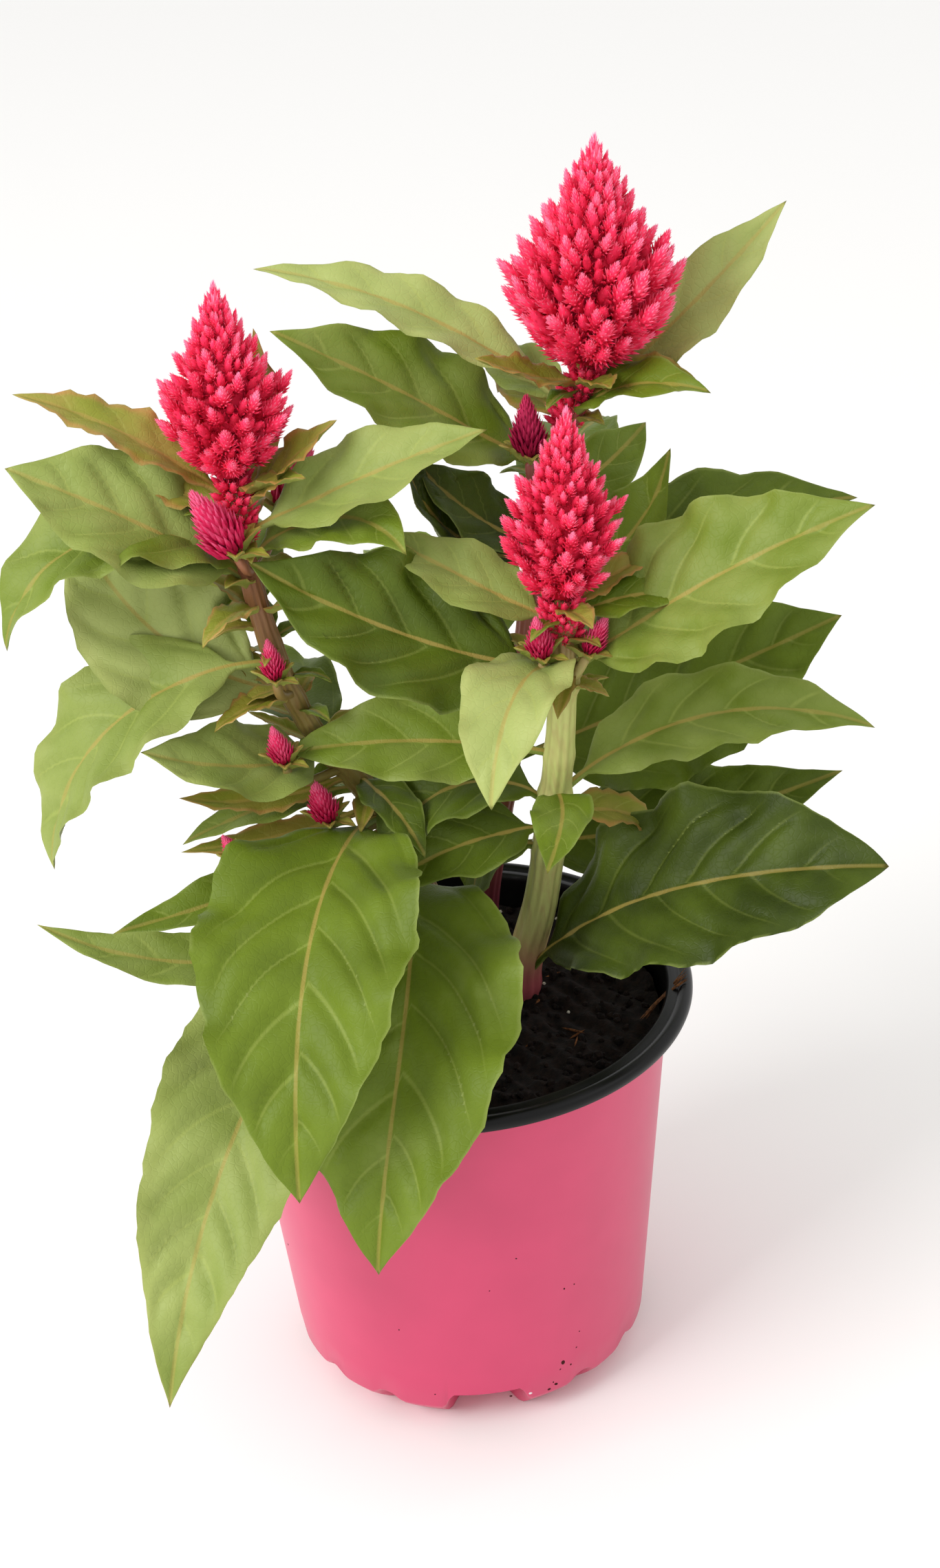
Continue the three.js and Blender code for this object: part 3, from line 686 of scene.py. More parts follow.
@dataclass
class Soil:
    """Damp peat with a crumbly top, grains of perlite, bits of fibre and one dried wisp on the rim."""

    level: float = 96.0
    relief: float = 1.2
    radius: float = 52.4
    bottom: float = 1.5
    crumbs: int = 620
    perlite: int = 14
    fibres: int = 46
    strands: int = 7
    wisp_root: Point = (46.5, -12.5, 98.6)
    wisp_tip: Point = (58.6, -4.5, 105.6)
    seed: int = 7
    peat_finish: LooseMatter = LooseMatter("damp peat", "#20130e", "#090504", 1.8)
    perlite_finish: LooseMatter = LooseMatter("perlite", "#d9d3c6", "#b1a998", 0.8)
    fibre_finish: LooseMatter = LooseMatter("dry plant fibre", "#8a5730", "#3f2413", 1.2)

    def surface(self, x: float, y: float) -> float:
        """Returns the height of the soil's top at a place."""
        swell = math.sin(0.23 * x + 1) * math.sin(0.19 * y) + 0.5 * math.sin(0.9 * x + 0.7 * y)
        fine = noise.fractal(Vector((x / 4, y / 4, 0)), 1.0, 2.0, 4)
        return self.level + self.relief * (0.8 * swell + 0.9 * fine)

    def body(self) -> Piece:
        """Returns the mass of peat that fills the pot."""
        outline = [(0.0, self.bottom), (28.3, self.bottom), (33.6, 13.2), (43.0, 13.4),
                   (self.radius - 0.7, self.level - 1.0)]
        top_row = len(outline) - 1
        outline += [(self.radius * (1 - k / 60), self.level) for k in range(1, 61)]
        shape = np.array(outline)
        peat, across, along = flat_grid("Soil", 200, len(outline) - 1)
        row = np.round(along * (len(outline) - 1)).astype(int)
        radius = shape[row, 0]
        x = radius * np.cos(math.pi * across)
        y = radius * np.sin(math.pi * across)
        on_top = row > top_row
        z = np.where(on_top, [self.surface(a, b) for a, b in zip(x, y)], shape[row, 1])
        middle = radius < 1e-6
        z[middle] = np.where(on_top[middle], self.surface(0, 0), self.bottom)
        set_points(peat, np.stack([x, y, z], axis=1))
        close_seams(peat)
        coat(self.peat_finish.make(), peat)
        smooth(peat, 60)
        return peat

    def scattered(self, count: int, size: tuple[float, float], flatness: Point, seed: int) -> Cluster:
        """Returns grains scattered over the soil.

        Args:
            count: how many grains.
            size: their smallest and largest radius.
            flatness: the scale of a grain along its own three directions.
            seed: the seed of their places.

        Returns:
            The grains.
        """
        random = np.random.default_rng(seed)
        bpy.ops.mesh.primitive_ico_sphere_add(subdivisions=1, radius=MM, location=(0, 0, 0))
        grain_shape = Cluster.of(bpy.context.active_object)
        placed = []
        for _ in range(count):
            reach = (self.radius - 1.5) * math.sqrt(random.random())
            bearing = random.uniform(0, 2 * math.pi)
            x, y = reach * math.cos(bearing), reach * math.sin(bearing)
            grain_size = random.uniform(*size)
            level = random.uniform(-0.25, 0.25)
            direction = unit(np.array([random.normal(), random.normal(), level]))
            base = np.array([x, y, self.surface(x, y) + 0.3 * grain_size * flatness[0]])
            scale = grain_size * np.array(flatness) * random.uniform(0.75, 1.25, 3)
            placed.append(grain_shape.placed(
                base, axes_along(direction, random.uniform(0, 3)), scale, grain_shape.tint))
        return Cluster.merged(placed)

    def wisp(self) -> Piece:
        """Returns the dried wisp of leaf that lies over the rim, as thin curled strands."""
        random = np.random.default_rng(self.seed)
        strands = []
        for k in range(self.strands):
            strand, across, along = flat_grid(f"strand {k}", 8, 18)
            angle = math.pi * across
            start = np.array(self.wisp_root) + [random.uniform(-1, 2), random.uniform(-2, 1.5), 0]
            end = np.array(self.wisp_tip) + [0, random.uniform(-2.5, 2.5), random.uniform(0, 0.9)]
            centre = mix(start, end, along[:, None])
            bow = np.sin(math.pi * along) * random.uniform(0.4, 1.8)
            centre[:, 2] += bow
            centre[:, 0] += random.uniform(-1, 1) * np.sin(math.pi * along)
            half = random.uniform(0.25, 0.7) * np.sin(math.pi * np.clip(along, 0.0, 1.0)) ** 0.6
            centre[:, 1] += half * np.cos(angle)
            centre[:, 2] += 0.3 * half * np.sin(angle)
            set_points(strand, centre)
            close_seams(strand)
            strands.append(strand)
        return joined("wisp", strands)

    def dress(self) -> None:
        """Builds the soil with its litter and shows it."""
        peat = self.body()
        crumbs = self.scattered(self.crumbs, (0.5, 1.5), (1.0, 0.8, 0.9), self.seed).piece("crumbs")
        coat(peat.data.materials[0], crumbs)
        perlite = self.scattered(self.perlite, (0.4, 0.8), (0.9, 0.9, 1.1), self.seed + 1).piece("perlite")
        coat(self.perlite_finish.make(), perlite)
        fibres = self.scattered(self.fibres, (0.9, 2.4), (0.16, 0.16, 1.3), self.seed + 2).piece("fibres")
        wisp = self.wisp()
        coat(self.fibre_finish.make(), fibres, wisp)
        smooth(wisp, 60)
        show(joined("Soil", [peat, crumbs, perlite, fibres, wisp]), "soil", "soil")


# Florets

@dataclass
class Spikelet:
    """One pointed spike of florets round a solid heart, modelled once at a nominal size and then copied."""

    florets: int
    length: float = 10.0
    width: float = 6.0
    core_radius: float = 1.9
    floret_length: float = 2.9
    floret_radius: float = 0.41
    lowest_tilt: float = 44.0
    highest_tilt: float = 8.0

    def floret(self) -> Cluster:
        """Returns one floret of length 1: a slender bud with four sides, made from a cone."""
        bpy.ops.mesh.primitive_cone_add(
            vertices=4, radius1=MM, radius2=0, depth=0.7 * MM, end_fill_type="TRIFAN",
            location=(0, 0, 0.65 * MM))
        bud = bpy.context.active_object
        bpy.ops.object.transform_apply(location=True)
        lowest = min(bud.data.vertices, key=lambda vertex: (vertex.co.z, vertex.co.to_2d().length))
        lowest.co.z = 0
        return Cluster.of(bud)

    def core(self) -> Cluster:
        """Returns the solid heart that the florets stand on, of length 1 and radius 1."""
        bpy.ops.mesh.primitive_uv_sphere_add(segments=8, ring_count=5, radius=MM, location=(0, 0, 0))
        heart = Cluster.of(bpy.context.active_object)
        heart.points[:, 2] = heart.points[:, 2] / 2 + 0.5
        return heart

    def swell(self, share: float) -> float:
        """Returns the heart's radius at a share of its length, as a share of its greatest."""
        return min(1.0, 0.6 + 2.4 * share) * min(1.0, 1.15 * (1 - share) ** 0.85)

    def build(self) -> Cluster:
        """Returns the spikelet along +Z, with tints that grow from its heart to its points: partly the
        florets' own deep red bases and pale points, and partly painted shade low on the spikelet.
        """
        bud, heart = self.floret(), self.core()
        heights = bud.points[:, 2]
        # The heart is tinted darker towards its foot: painted shade
        placed = [heart.placed(
            np.zeros(3), np.eye(3),
            np.array([0.8 * self.core_radius, 0.8 * self.core_radius, 0.9 * self.length]),
            mix(0.2, 0.6, heart.points[:, 2]))]
        for k in range(self.florets):
            share = (k + 0.5) / self.florets
            bearing = k * GOLDEN_ANGLE
            tilt = math.radians(mix(self.lowest_tilt, self.highest_tilt, share ** 1.2))
            outward, direction = leaning(np.eye(3), bearing, tilt)
            base = outward * self.core_radius * self.swell(share) * 0.75
            base = base + np.array([0, 0, self.length * 0.8 * share ** 0.95])
            reach = self.floret_length * mix(1.0, 0.75, share)
            size = np.array([self.floret_radius, 0.8 * self.floret_radius, reach])
            # Lighter up the spikelet and towards each floret's point: the florets' own pale points, with
            # painted shade low down
            tint = mix(0.28, 0.74, share) + 0.32 * heights ** 1.5
            placed.append(bud.placed(base, axes_along(direction, bearing), size, tint))
        top = np.array([0, 0, self.length * 0.76])
        size = np.array([self.floret_radius, self.floret_radius, self.length * 0.24])
        placed.append(bud.placed(top, np.eye(3), size, 0.66 + 0.34 * heights))
        return Cluster.merged(placed)


# Leafy stems

class AgeAndShade(Enum):
    """How a leaf looks: its lightness, partly its own green by age and partly painted shade on leaves that
    sit in shadow, and how far its edges are tanned.
    """

    # The two darkest steps are painted shade for leaves that sit in shadow
    OLD = (0.08, 0.0)
    DEEP = (0.27, 0.0)
    GROWN = (0.45, 0.0)
    MATURE = (0.58, 0.02)
    YOUNG = (0.74, 0.03)
    PALE = (0.95, 0.05)
    BRACT = (0.6, 0.8)
    RUSTY = (0.4, 0.9)


@dataclass
class Line:
    """A stem's centre line through points, which starts under the soil."""

    points: list[Point]
    root_radius: float
    top_radius: float
    root_height: float = 84.0

    def corners(self) -> np.ndarray:
        """Returns the points with the root added below the first."""
        x, y, _ = self.points[0]
        return np.array([(x, y, self.root_height), *self.points])

    def at(self, height: float) -> np.ndarray:
        """Returns the point of the line at a height."""
        corners = self.corners()
        return np.array([np.interp(height, corners[:, 2], corners[:, i]) for i in range(3)])


def curve_through(corners: np.ndarray, share: np.ndarray) -> tuple[np.ndarray, np.ndarray]:
    """Follows a smooth curve through corners.

    Args:
        corners: the corners, in order.
        share: how far along each point lies, from 0 to 1.

    Returns:
        The points and the directions there.
    """
    steps = np.concatenate([[0], np.cumsum(np.linalg.norm(np.diff(corners, axis=0), axis=1))])
    slopes = np.gradient(corners, steps, axis=0)
    place = share * steps[-1]
    k = np.clip(np.searchsorted(steps, place, side="right") - 1, 0, len(steps) - 2)
    span = (steps[k + 1] - steps[k])[:, None]
    t = ((place - steps[k])[:, None]) / span
    points = (
        (2 * t**3 - 3 * t**2 + 1) * corners[k] + (t**3 - 2 * t**2 + t) * span * slopes[k]
        + (3 * t**2 - 2 * t**3) * corners[k + 1] + (t**3 - t**2) * span * slopes[k + 1])
    directions = (
        (6 * t**2 - 6 * t) * corners[k] / span + (3 * t**2 - 4 * t + 1) * slopes[k]
        + (6 * t - 6 * t**2) * corners[k + 1] / span + (3 * t**2 - 2 * t) * slopes[k + 1])
    return points, unit(directions)


def ribbed_tube(
    name: str, corners: np.ndarray, radius: tuple[float, float], ribs: int, sides: int, rows: int,
    nodes: list[float],
) -> Piece:
    """Returns a closed tube along a curve, ribbed lengthwise and swollen where leaves leave it.

    Args:
        name: the piece's name.
        corners: the corners of its centre line.
        radius: the radius at its start and at its end.
        ribs: how many ribs run round it.
        sides: faces round it.
        rows: faces along it.
        nodes: the heights where it swells.

    Returns:
        The tube.
    """
    tube, across, along = flat_grid(name, sides, rows)
    centre, direction = curve_through(corners, along)
    first = unit(np.cross(np.array([0.0, 1.0, 0.0]), direction))
    second = np.cross(direction, first)
    angle = (math.pi * across)[:, None]
    thick = mix(radius[0], radius[1], along) * (1 + 0.05 * np.cos(ribs * angle[:, 0]))
    for height in nodes:
        thick = thick * (1 + 0.10 * np.exp(-(((centre[:, 2] - height) / 2.5) ** 2)))
    end = np.clip(np.minimum(along, 1 - along) * rows, 0, 1)[:, None]
    set_points(tube, centre + end * thick[:, None] * (np.cos(angle) * first + np.sin(angle) * second))
    map_points(tube, "veins", across, along)
    close_seams(tube)
    return tube


@dataclass
class Leaf:
    """A leaf: where it leaves its stem, how it rises, droops and turns, its size, and its age with the
    painted shade it carries.
    """

    height: float
    bearing: float
    rise: float
    droop: float
    turn: float
    length: float
    width: float
    roll: float
    age: AgeAndShade = AgeAndShade.GROWN
    widest: float = 0.39
    petiole_share: float = 0.13
    petiole_half_width: float = 0.95
    petiole_thickness: float = 1.6
    tip_half_width: float = 0.12
    blade_thickness: float = 0.5
    taper: float = 1.84
    fold: float = 14.0
    edge_wave: float = 0.07
    station_spacing: float = 8.5
    vein_spacing: float = 14.0
    vein_arc: tuple[float, float] = (0.7, 0.8)
    puff_share: float = 0.04
    deepest_puff: float = 1.7
    groove_depth: float = 0.35
    midrib_height: float = 0.8
    least_columns: int = 8
    least_rows: int = 22

    def outline(self, blade: np.ndarray) -> np.ndarray:
        """Returns the half width at shares of the blade's length, as a share of its greatest."""
        rise = self.taper * self.widest
        fall = self.taper * (1 - self.widest)
        return blade**rise * (1 - blade)**fall / (self.widest**rise * (1 - self.widest)**fall)

    def spine(self, line: Line, share: np.ndarray) -> tuple[np.ndarray, np.ndarray, np.ndarray]:
        """Follows the leaf's centre line.

        Args:
            line: the stem's centre line.
            share: shares of the leaf's length.

        Returns:
            The centre line's points there, and the directions across and out of the blade.
        """
        steps = 320
        fine = np.linspace(0, 1, steps + 1)
        pitch = np.radians(self.rise - self.droop * fine)
        bearing = np.radians(self.bearing + self.turn * fine)
        along = np.stack(
            [np.cos(pitch) * np.cos(bearing), np.cos(pitch) * np.sin(bearing), np.sin(pitch)], axis=1)
        level = np.stack([-np.sin(bearing), np.cos(bearing), 0 * bearing], axis=1)
        above = np.cross(along, level)
        roll = math.radians(self.roll)
        side = level * math.cos(roll) + above * math.sin(roll)
        up = above * math.cos(roll) - level * math.sin(roll)
        way = np.concatenate([[np.zeros(3)], np.cumsum(along[1:], axis=0)]) * self.length / steps
        centre = line.at(self.height) + way
        pick = [np.stack([np.interp(share, fine, part[:, i]) for i in range(3)], axis=1)
                for part in (centre, side, up)]
        return pick[0], unit(pick[1]), unit(pick[2])

    def build(self, line: Line, number: int) -> Piece:
        """Returns the leaf as a closed thin shell with its vein map and tints.

        Args:
            line: the stem's centre line.
            number: the leaf's number on its stem, which seeds its small irregularities.

        Returns:
            The leaf.
        """
        random = np.random.default_rng(100 * number + int(self.length))
        columns = 2 * int(np.clip(round(self.width / 2.0), self.least_columns, 24))
        rows = int(np.clip(round(self.length / 1.7), self.least_rows, 70))
        leaf, around, share = flat_grid(f"leaf {number}", 2 * columns, rows)
        across = np.where(around < 0, 2 * around + 1, 1 - 2 * around)
        face = np.where(around < 0, 1.0, -1.0)
        centre, side, up = self.spine(line, share)

        blade = np.clip((share - self.petiole_share) / (1 - self.petiole_share), 0, 1)
        half = self.width / 2 * self.outline(blade)
        on_blade = smooth_step(0.0, 0.12, blade)
        half = np.maximum(half, np.where(blade < 0.5, self.petiole_half_width, self.tip_half_width))
        lightness, tan = self.age.value
        far = share * self.length
        uneven = [
            size * np.sin(2 * math.pi * far / period + random.uniform(0, 6) + 5 * np.sign(across))
            for size, period in ((0.012, 9.3), (0.009, 5.1), (0.005, 2.3))]
        nick = sum(uneven) * (1 + 3 * tan)
        closing = np.clip(share * rows, 0, 1) * np.clip((1 - share) * rows, 0, 1)
        half = half * (1 + nick * on_blade * np.abs(across) ** 6) * closing

        # Veins: the first coordinate is a whole number on each side vein
        out = np.abs(across)
        length = self.length * (1 - self.petiole_share)
        pairs = max(4, round(length / self.vein_spacing))
        arc = half * (self.vein_arc[0] * out + self.vein_arc[1] * out**2)
        phase = (blade * length - arc) * pairs / length
        phase = phase + np.where(across > 0, 0.35, 0.0) + 0.15 * random.random()
        phase = phase + 0.1 * np.sin(1.7 * phase + random.uniform(0, 6)) + 0.05 * np.sin(4.1 * phase)
        off_rib = across * half
        strength = smooth_step(0.03, 0.15, blade) * (1 - smooth_step(0.6, 0.97, out))
        strength = strength * (1 - smooth_step(0.8, 0.93, blade))

        # The blade's section: folded, waved at its edges, puffed between its veins
        stations = int(np.clip(round(self.length / self.station_spacing), 6, 10))
        beat = math.pi * stations * share + np.where(across > 0, 0.0, 2.0)
        fold = math.sin(math.radians(self.fold)) * (1.25 * out - 0.25 * out**3)
        wave = 2 * self.edge_wave * np.cos(beat) * out**2.2
        ruffle = (0.02 + 0.1 * tan) * np.sin(2.7 * beat + random.uniform(0, 6)) * out**3
        lift = half * (fold + wave + ruffle) * on_blade
        aside = phase - np.round(phase)
        valley = np.exp(-((aside / 0.17) ** 2)) * strength * np.minimum(1, out / 0.12)
        lift = lift - min(self.deepest_puff, self.puff_share * self.width) * valley
        groove = self.groove_depth * np.exp(-((off_rib / 0.9) ** 2)) * on_blade
        thickness = mix(self.petiole_thickness, self.blade_thickness, np.clip(blade / 0.2, 0, 1))
        skin = np.sqrt(np.clip(1 - out**4, 0, 1)) * thickness / 2 * closing
        rib = self.midrib_height * (1 - blade) * np.exp(-((off_rib / 0.8) ** 2)) * on_blade * closing
        height = lift - groove + face * skin - np.where(face < 0, rib, 0)
        flat = math.cos(math.radians(self.fold))
        set_points(leaf, centre + side * (across * half * flat)[:, None] + up * height[:, None])

        lightness = lightness + random.uniform(-0.05, 0.05)
        map_points(leaf, "veins", phase, off_rib)
        # The lightness carries painted shade on leaves that sit in shadow
        paint(leaf, "leaf_tint", lightness, tan, np.where(face < 0, 1.0, 0.0))
        paint(leaf, "leaf_place", out, share, strength)
        close_seams(leaf)
        return leaf


@dataclass
class Sprigs:
    """Small curled bracts that clothe a stem between two heights."""

    count: int
    lowest: float
    highest: float
    seed: int = 17

    def leaves(self) -> list[Leaf]:
        """Returns the bracts."""
        random = np.random.default_rng(self.seed)
        ages = (AgeAndShade.BRACT, AgeAndShade.GROWN, AgeAndShade.RUSTY)
        return [
            Leaf(
                mix(self.lowest, self.highest, k / self.count), math.degrees(GOLDEN_ANGLE) * k,
                random.uniform(30, 60), random.uniform(50, 110), random.uniform(-30, 30),
                random.uniform(10, 18), random.uniform(4, 7), 0, ages[k % len(ages)],
                petiole_half_width=0.6, petiole_thickness=0.8, least_columns=4, least_rows=12)
            for k in range(self.count)]


@dataclass
class Neck:
    """The top of a stem just under its plume, clothed in short dark spikelets."""

    length: float
    spikelets: int = 64
    spikelet_length: float = 5.0
    spikelet_width: float = 3.0
    lean: float = 46.0
    seed: int = 11

    def build(self, line: Line, shape: Spikelet) -> Piece:
        """Returns the neck's spikelets.

        Args:
            line: the stem's centre line.
            shape: the spikelet to copy.

        Returns:
            The spikelets as one piece.
        """
        random = np.random.default_rng(self.seed)
        spike = shape.build()
        top = line.points[-1][2]
        placed = []
        for k in range(self.spikelets):
            bearing = k * GOLDEN_ANGLE
            lean = math.radians(self.lean + random.uniform(-10, 10))
            outward, direction = leaning(np.eye(3), bearing, lean)
            base = line.at(top - self.length * (1 - k / self.spikelets)) + outward * 0.85 * line.top_radius
            wide = self.spikelet_width / shape.width * random.uniform(0.8, 1.2)
            size = np.array([wide, wide, self.spikelet_length / shape.length * random.uniform(0.8, 1.1)])
            tint = 0.75 * spike.tint + random.uniform(-0.05, 0.1)
            placed.append(spike.placed(base, axes_along(direction, bearing), size, np.clip(tint, 0, 1)))
        return Cluster.merged(placed).piece("neck", "floret_shade_and_tone")


@dataclass
class LeafyStem:
    """A stem with its leaves and sprigs, its buds' stalks and sepals, and the neck under its plume."""

    name: str
    line: Line
    leaves: list[Leaf]
    sprigs: Sprigs
    stalks: list[Piece]
    sepals: list[Piece]
    neck: Piece
    finish: StemSkin
    ribs: int = 11
    sides: int = 88
    rows: int = 130

    def dress(self, leaf_material: bpy.types.Material, floret_material: bpy.types.Material) -> None:
        """Builds the stem, its leaves, stalks and neck as one piece and shows it.

        Args:
            leaf_material: the leaves' material.
            floret_material: the neck's material.
        """
        stem = ribbed_tube(
            self.name, self.line.corners(), (self.line.root_radius, self.line.top_radius), self.ribs,
            self.sides, self.rows, [leaf.height for leaf in self.leaves])
        coat(self.finish.make(), stem, *self.stalks)
        shapes = self.leaves + self.sprigs.leaves()
        leaves = [shape.build(self.line, number) for number, shape in enumerate(shapes)] + self.sepals
        coat(leaf_material, *leaves)
        coat(floret_material, self.neck)
        whole = joined(self.name, [stem, *self.stalks, *leaves, self.neck])
        smooth(whole, 75)
        show(whole, "leaf", self.name.lower())


# Plumes and buds

# A plume's radius at shares of its height, as a share of its greatest
PLUME_OUTLINE = [(0.0, 0.35), (0.1, 0.52), (0.2, 0.76), (0.32, 0.93), (0.42, 1.0), (0.52, 0.95), (0.64, 0.68),
                 (0.76, 0.43), (0.87, 0.24), (0.95, 0.1), (1.0, 0.02)]


@dataclass
class Plume:
    """A feathery plume: spikelets that stand out and up from a core, with shorter ones between them."""

    name: str
    base: Point
    tip: Point
    half_width: float
    rows: int
    columns: int
    seed: int = 3
    crown_share: float = 0.86
    tip_rise: float = 0.1
    lowest_lean: float = 72.0
    highest_lean: float = 16.0
    core_share: float = 0.52
    core_top_share: float = 0.3
    core_height: float = 0.93
    spire_share: float = 0.28
    spire_width: float = 0.3
    crown_spikes: int = 16
    between_share: float = 0.8
    inner_share: float = 0.6
    lowest_length: float = 0.56
    highest_length: float = 0.26
    slimness: float = 0.56

    def envelope(self, share: Any) -> Any:
        """Returns the plume's radius at shares of its height."""
        return self.half_width * np.interp(share, *zip(*PLUME_OUTLINE))

    def frame(self) -> np.ndarray:
        """Returns the directions across, deep and up the plume, as rows."""
        up = unit(np.array(self.tip) - np.array(self.base))
        across = unit(np.cross(np.array([0.0, 1.0, 0.0]), up))
        return np.stack([across, np.cross(up, across), up])

    def core(self) -> Piece:
        """Returns the plume's core, tinted dark red as painted shade inside the plume."""
        rows = 24
        piece, around, along = flat_grid("core", rows, rows)
        across, deep, _ = self.frame()
        axis = np.array(self.tip) - np.array(self.base)
        height = self.core_height * along
        radius = mix(self.core_share, self.core_top_share, along) * self.envelope(height)
        radius = radius * np.clip(along * rows, 0, 1) * np.clip((1 - along) * rows / 3, 0, 1)
        angle = (math.pi * around)[:, None]
        ring = radius[:, None] * (np.cos(angle) * across + np.sin(angle) * deep)
        set_points(piece, np.array(self.base) + height[:, None] * axis + ring)
        # Painted shade: the core is tinted dark red, a little lighter towards its top
        paint(piece, "floret_shade_and_tone", 0.08 + 0.3 * along)
        close_seams(piece)
        return piece

    def spikes(self, full: Spikelet, small: Spikelet) -> Cluster:
        """Returns all the spikelets in place.

        Args:
            full: the spikelet whose tips make the plume's outline.
            small: the spikelet that fills the valleys between them.

        Returns:
            The spikelets.
        """
        random = np.random.default_rng(self.seed)
        base = np.array(self.base)
        axis = np.array(self.tip) - base
        axes = self.frame()
        full_shape, small_shape = full.build(), small.build()
        placed = []
        for row in range(1, self.rows + 1):
            share = self.crown_share * row / self.rows
            tip_share = share + self.tip_rise * (1 - share)
            longest = self.half_width * mix(self.lowest_length, self.highest_length, share)
            for column in range(self.columns):
                outlines = (row + column) % 2 == 1
                angle = 2 * math.pi * column / self.columns + random.uniform(-0.2, 0.2)
                along = tip_share + random.uniform(-0.012, 0.012)
                lean = mix(self.lowest_lean, self.highest_lean, share ** 0.6) + random.uniform(-8, 8)
                lean = math.radians(lean)
                outward, direction = leaning(axes, angle, lean)
                reach = self.envelope(tip_share) * (1 - 0.18 * abs(math.sin(7 * row + 3 * column)))
                reach *= 1 if outlines else self.between_share
                tip = base + axis * along + outward * reach
                out = reach - 0.6 * self.core_share * self.envelope(share)
                length = min(longest * random.uniform(0.8, 1.1), out / math.sin(lean))
                kind, shape = (full, full_shape) if outlines else (small, small_shape)
                wide = self.slimness * length * random.uniform(0.9, 1.1) / kind.width
                size = np.array([wide, wide, length / kind.length])
                # Lower spikelets are tinted darker and higher ones lighter, and those set between are darker
                # still: painted shade low in and inside the plume, painted light at its top
                tint = shape.tint * (mix(0.84, 1.12, share) if outlines else 0.85 * mix(0.72, 1.12, share))
                tint = np.clip(tint + random.uniform(-0.09, 0.09), 0, 1)
                placed.append(shape.placed(
                    tip - direction * length, axes_along(direction, random.uniform(0, 6)), size, tint))

                # A shorter one on the core, half a step on, closes the gap between its neighbours; it is
                # tinted darker, as painted shade deep in the plume
                angle += math.pi / self.columns
                outward, direction = leaning(axes, angle, lean)
                tip = base + axis * (tip_share + 0.4 / self.rows)
                tip = tip + outward * self.inner_share * self.envelope(tip_share)
                size = size * 0.9 * kind.width / small.width
                size[2] = 0.75 * length / small.length
                tint = np.clip(0.8 * mix(0.5, 1.15, share) * small_shape.tint, 0, 1)
                placed.append(small_shape.placed(
                    tip - direction * 0.75 * length, axes_along(direction, angle), size, tint))
        return Cluster.merged(placed + self.crown(full, small))

    def crown(self, full: Spikelet, small: Spikelet) -> list[Cluster]:
        """Returns the spikelets of the plume's point.

        Args:
            full: the spikelet that makes the spire.
            small: the slender spikelet that winds up round it.

        Returns:
            The slender spikelets, and the spire last.
        """
        axis = np.array(self.tip) - np.array(self.base)
        axes = self.frame()
        spire, spike = full.build(), small.build()
        length = self.highest_length * self.half_width
        wide = 0.4 * length / small.width
        size = np.array([wide, wide, length / small.length])
        placed = []
        for k in range(self.crown_spikes):
            share = mix(0.86, 0.985, k / self.crown_spikes)
            angle = k * GOLDEN_ANGLE
            outward, direction = leaning(axes, angle, math.radians(self.highest_lean))
            tip = np.array(self.base) + axis * share + outward * self.envelope(share)
            placed.append(spike.placed(
                tip - direction * length, axes_along(direction, angle), size, spike.tint))
        wide = self.spire_width * self.half_width / full.width
        size = np.array([wide, wide, self.spire_share * np.linalg.norm(axis) / full.length])
        start = np.array(self.base) + axis * (1 - self.spire_share)
        # The spire is tinted lighter: painted light at the plume's top
        placed.append(spire.placed(start, axes, size, np.clip(spire.tint + 0.12, 0, 1)))
        return placed

    def dress(self, full: Spikelet, small: Spikelet, material: bpy.types.Material) -> None:
        """Builds the plume and shows it.

        Args:
            full: the spikelet whose tips make the plume's outline.
            small: the spikelet that fills the valleys between them.
            material: the florets' material.
        """
        florets = self.spikes(full, small).piece(self.name, "floret_shade_and_tone")
        core = self.core()
        coat(material, florets, core)
        whole = joined(self.name, [florets, core])
        smooth(whole, 50)
        show(whole, "plume", self.name.lower())


@dataclass
class Bud:
    """A side plume that is still closed: one pointed head of florets on a stalk."""

    name: str
    stem_height: float
    base: Point
    tip: Point
    half_width: float
    florets: int = 130
    stalk_radius: float = 1.1
    stalk_bend: float = 3.0
    sepal_count: int = 7

    def up(self) -> np.ndarray:
        """Returns the direction from its base to its tip."""
        return unit(np.array(self.tip) - np.array(self.base))

    def stalk(self, line: Line) -> Piece:
        """Returns the stalk, which belongs to the stem."""
        base = np.array(self.base)
        corners = np.stack([
            line.at(self.stem_height), base - self.stalk_bend * self.up(), base - 0.2 * self.up()])
        radii = (self.stalk_radius, self.stalk_radius)
        return ribbed_tube("stalk", corners, radii, ribs=5, sides=16, rows=14, nodes=[])

    def sepals(self) -> list[Piece]:
        """Returns the small tanned sepals round its foot, which belong to the stem."""
        level = self.base[2] - 1.0
        foot = Line([self.base, self.tip], self.stalk_radius, self.stalk_radius, level - self.stalk_bend)
        return [
            Leaf(
                level, math.degrees(GOLDEN_ANGLE) * k, 66 - 12 * (k % 3), 30 + 25 * (k % 2), 0,
                4 + 0.9 * self.half_width, 1.8 + 0.35 * self.half_width, 0, AgeAndShade.BRACT,
                petiole_half_width=0.5, petiole_thickness=0.7, least_columns=4, least_rows=12,
            ).build(foot, k)
            for k in range(self.sepal_count)]

    def dress(self, material: bpy.types.Material) -> None:
        """Builds the bud and shows it."""
        length = float(np.linalg.norm(np.array(self.tip) - np.array(self.base)))
        head = Spikelet(
            self.florets, length, width=2 * self.half_width, core_radius=0.62 * self.half_width,
            floret_length=0.34 * length, floret_radius=0.12 * self.half_width,
            lowest_tilt=30.0, highest_tilt=5.0)
        shape = head.build()
        florets = shape.placed(
            np.array(self.base), axes_along(self.up(), 0.0), np.ones(3), shape.tint).piece(self.name, "floret_shade_and_tone")
        coat(material, florets)
        smooth(florets, 50)
        show(florets, "plume", self.name.lower())


# The plant as photographed

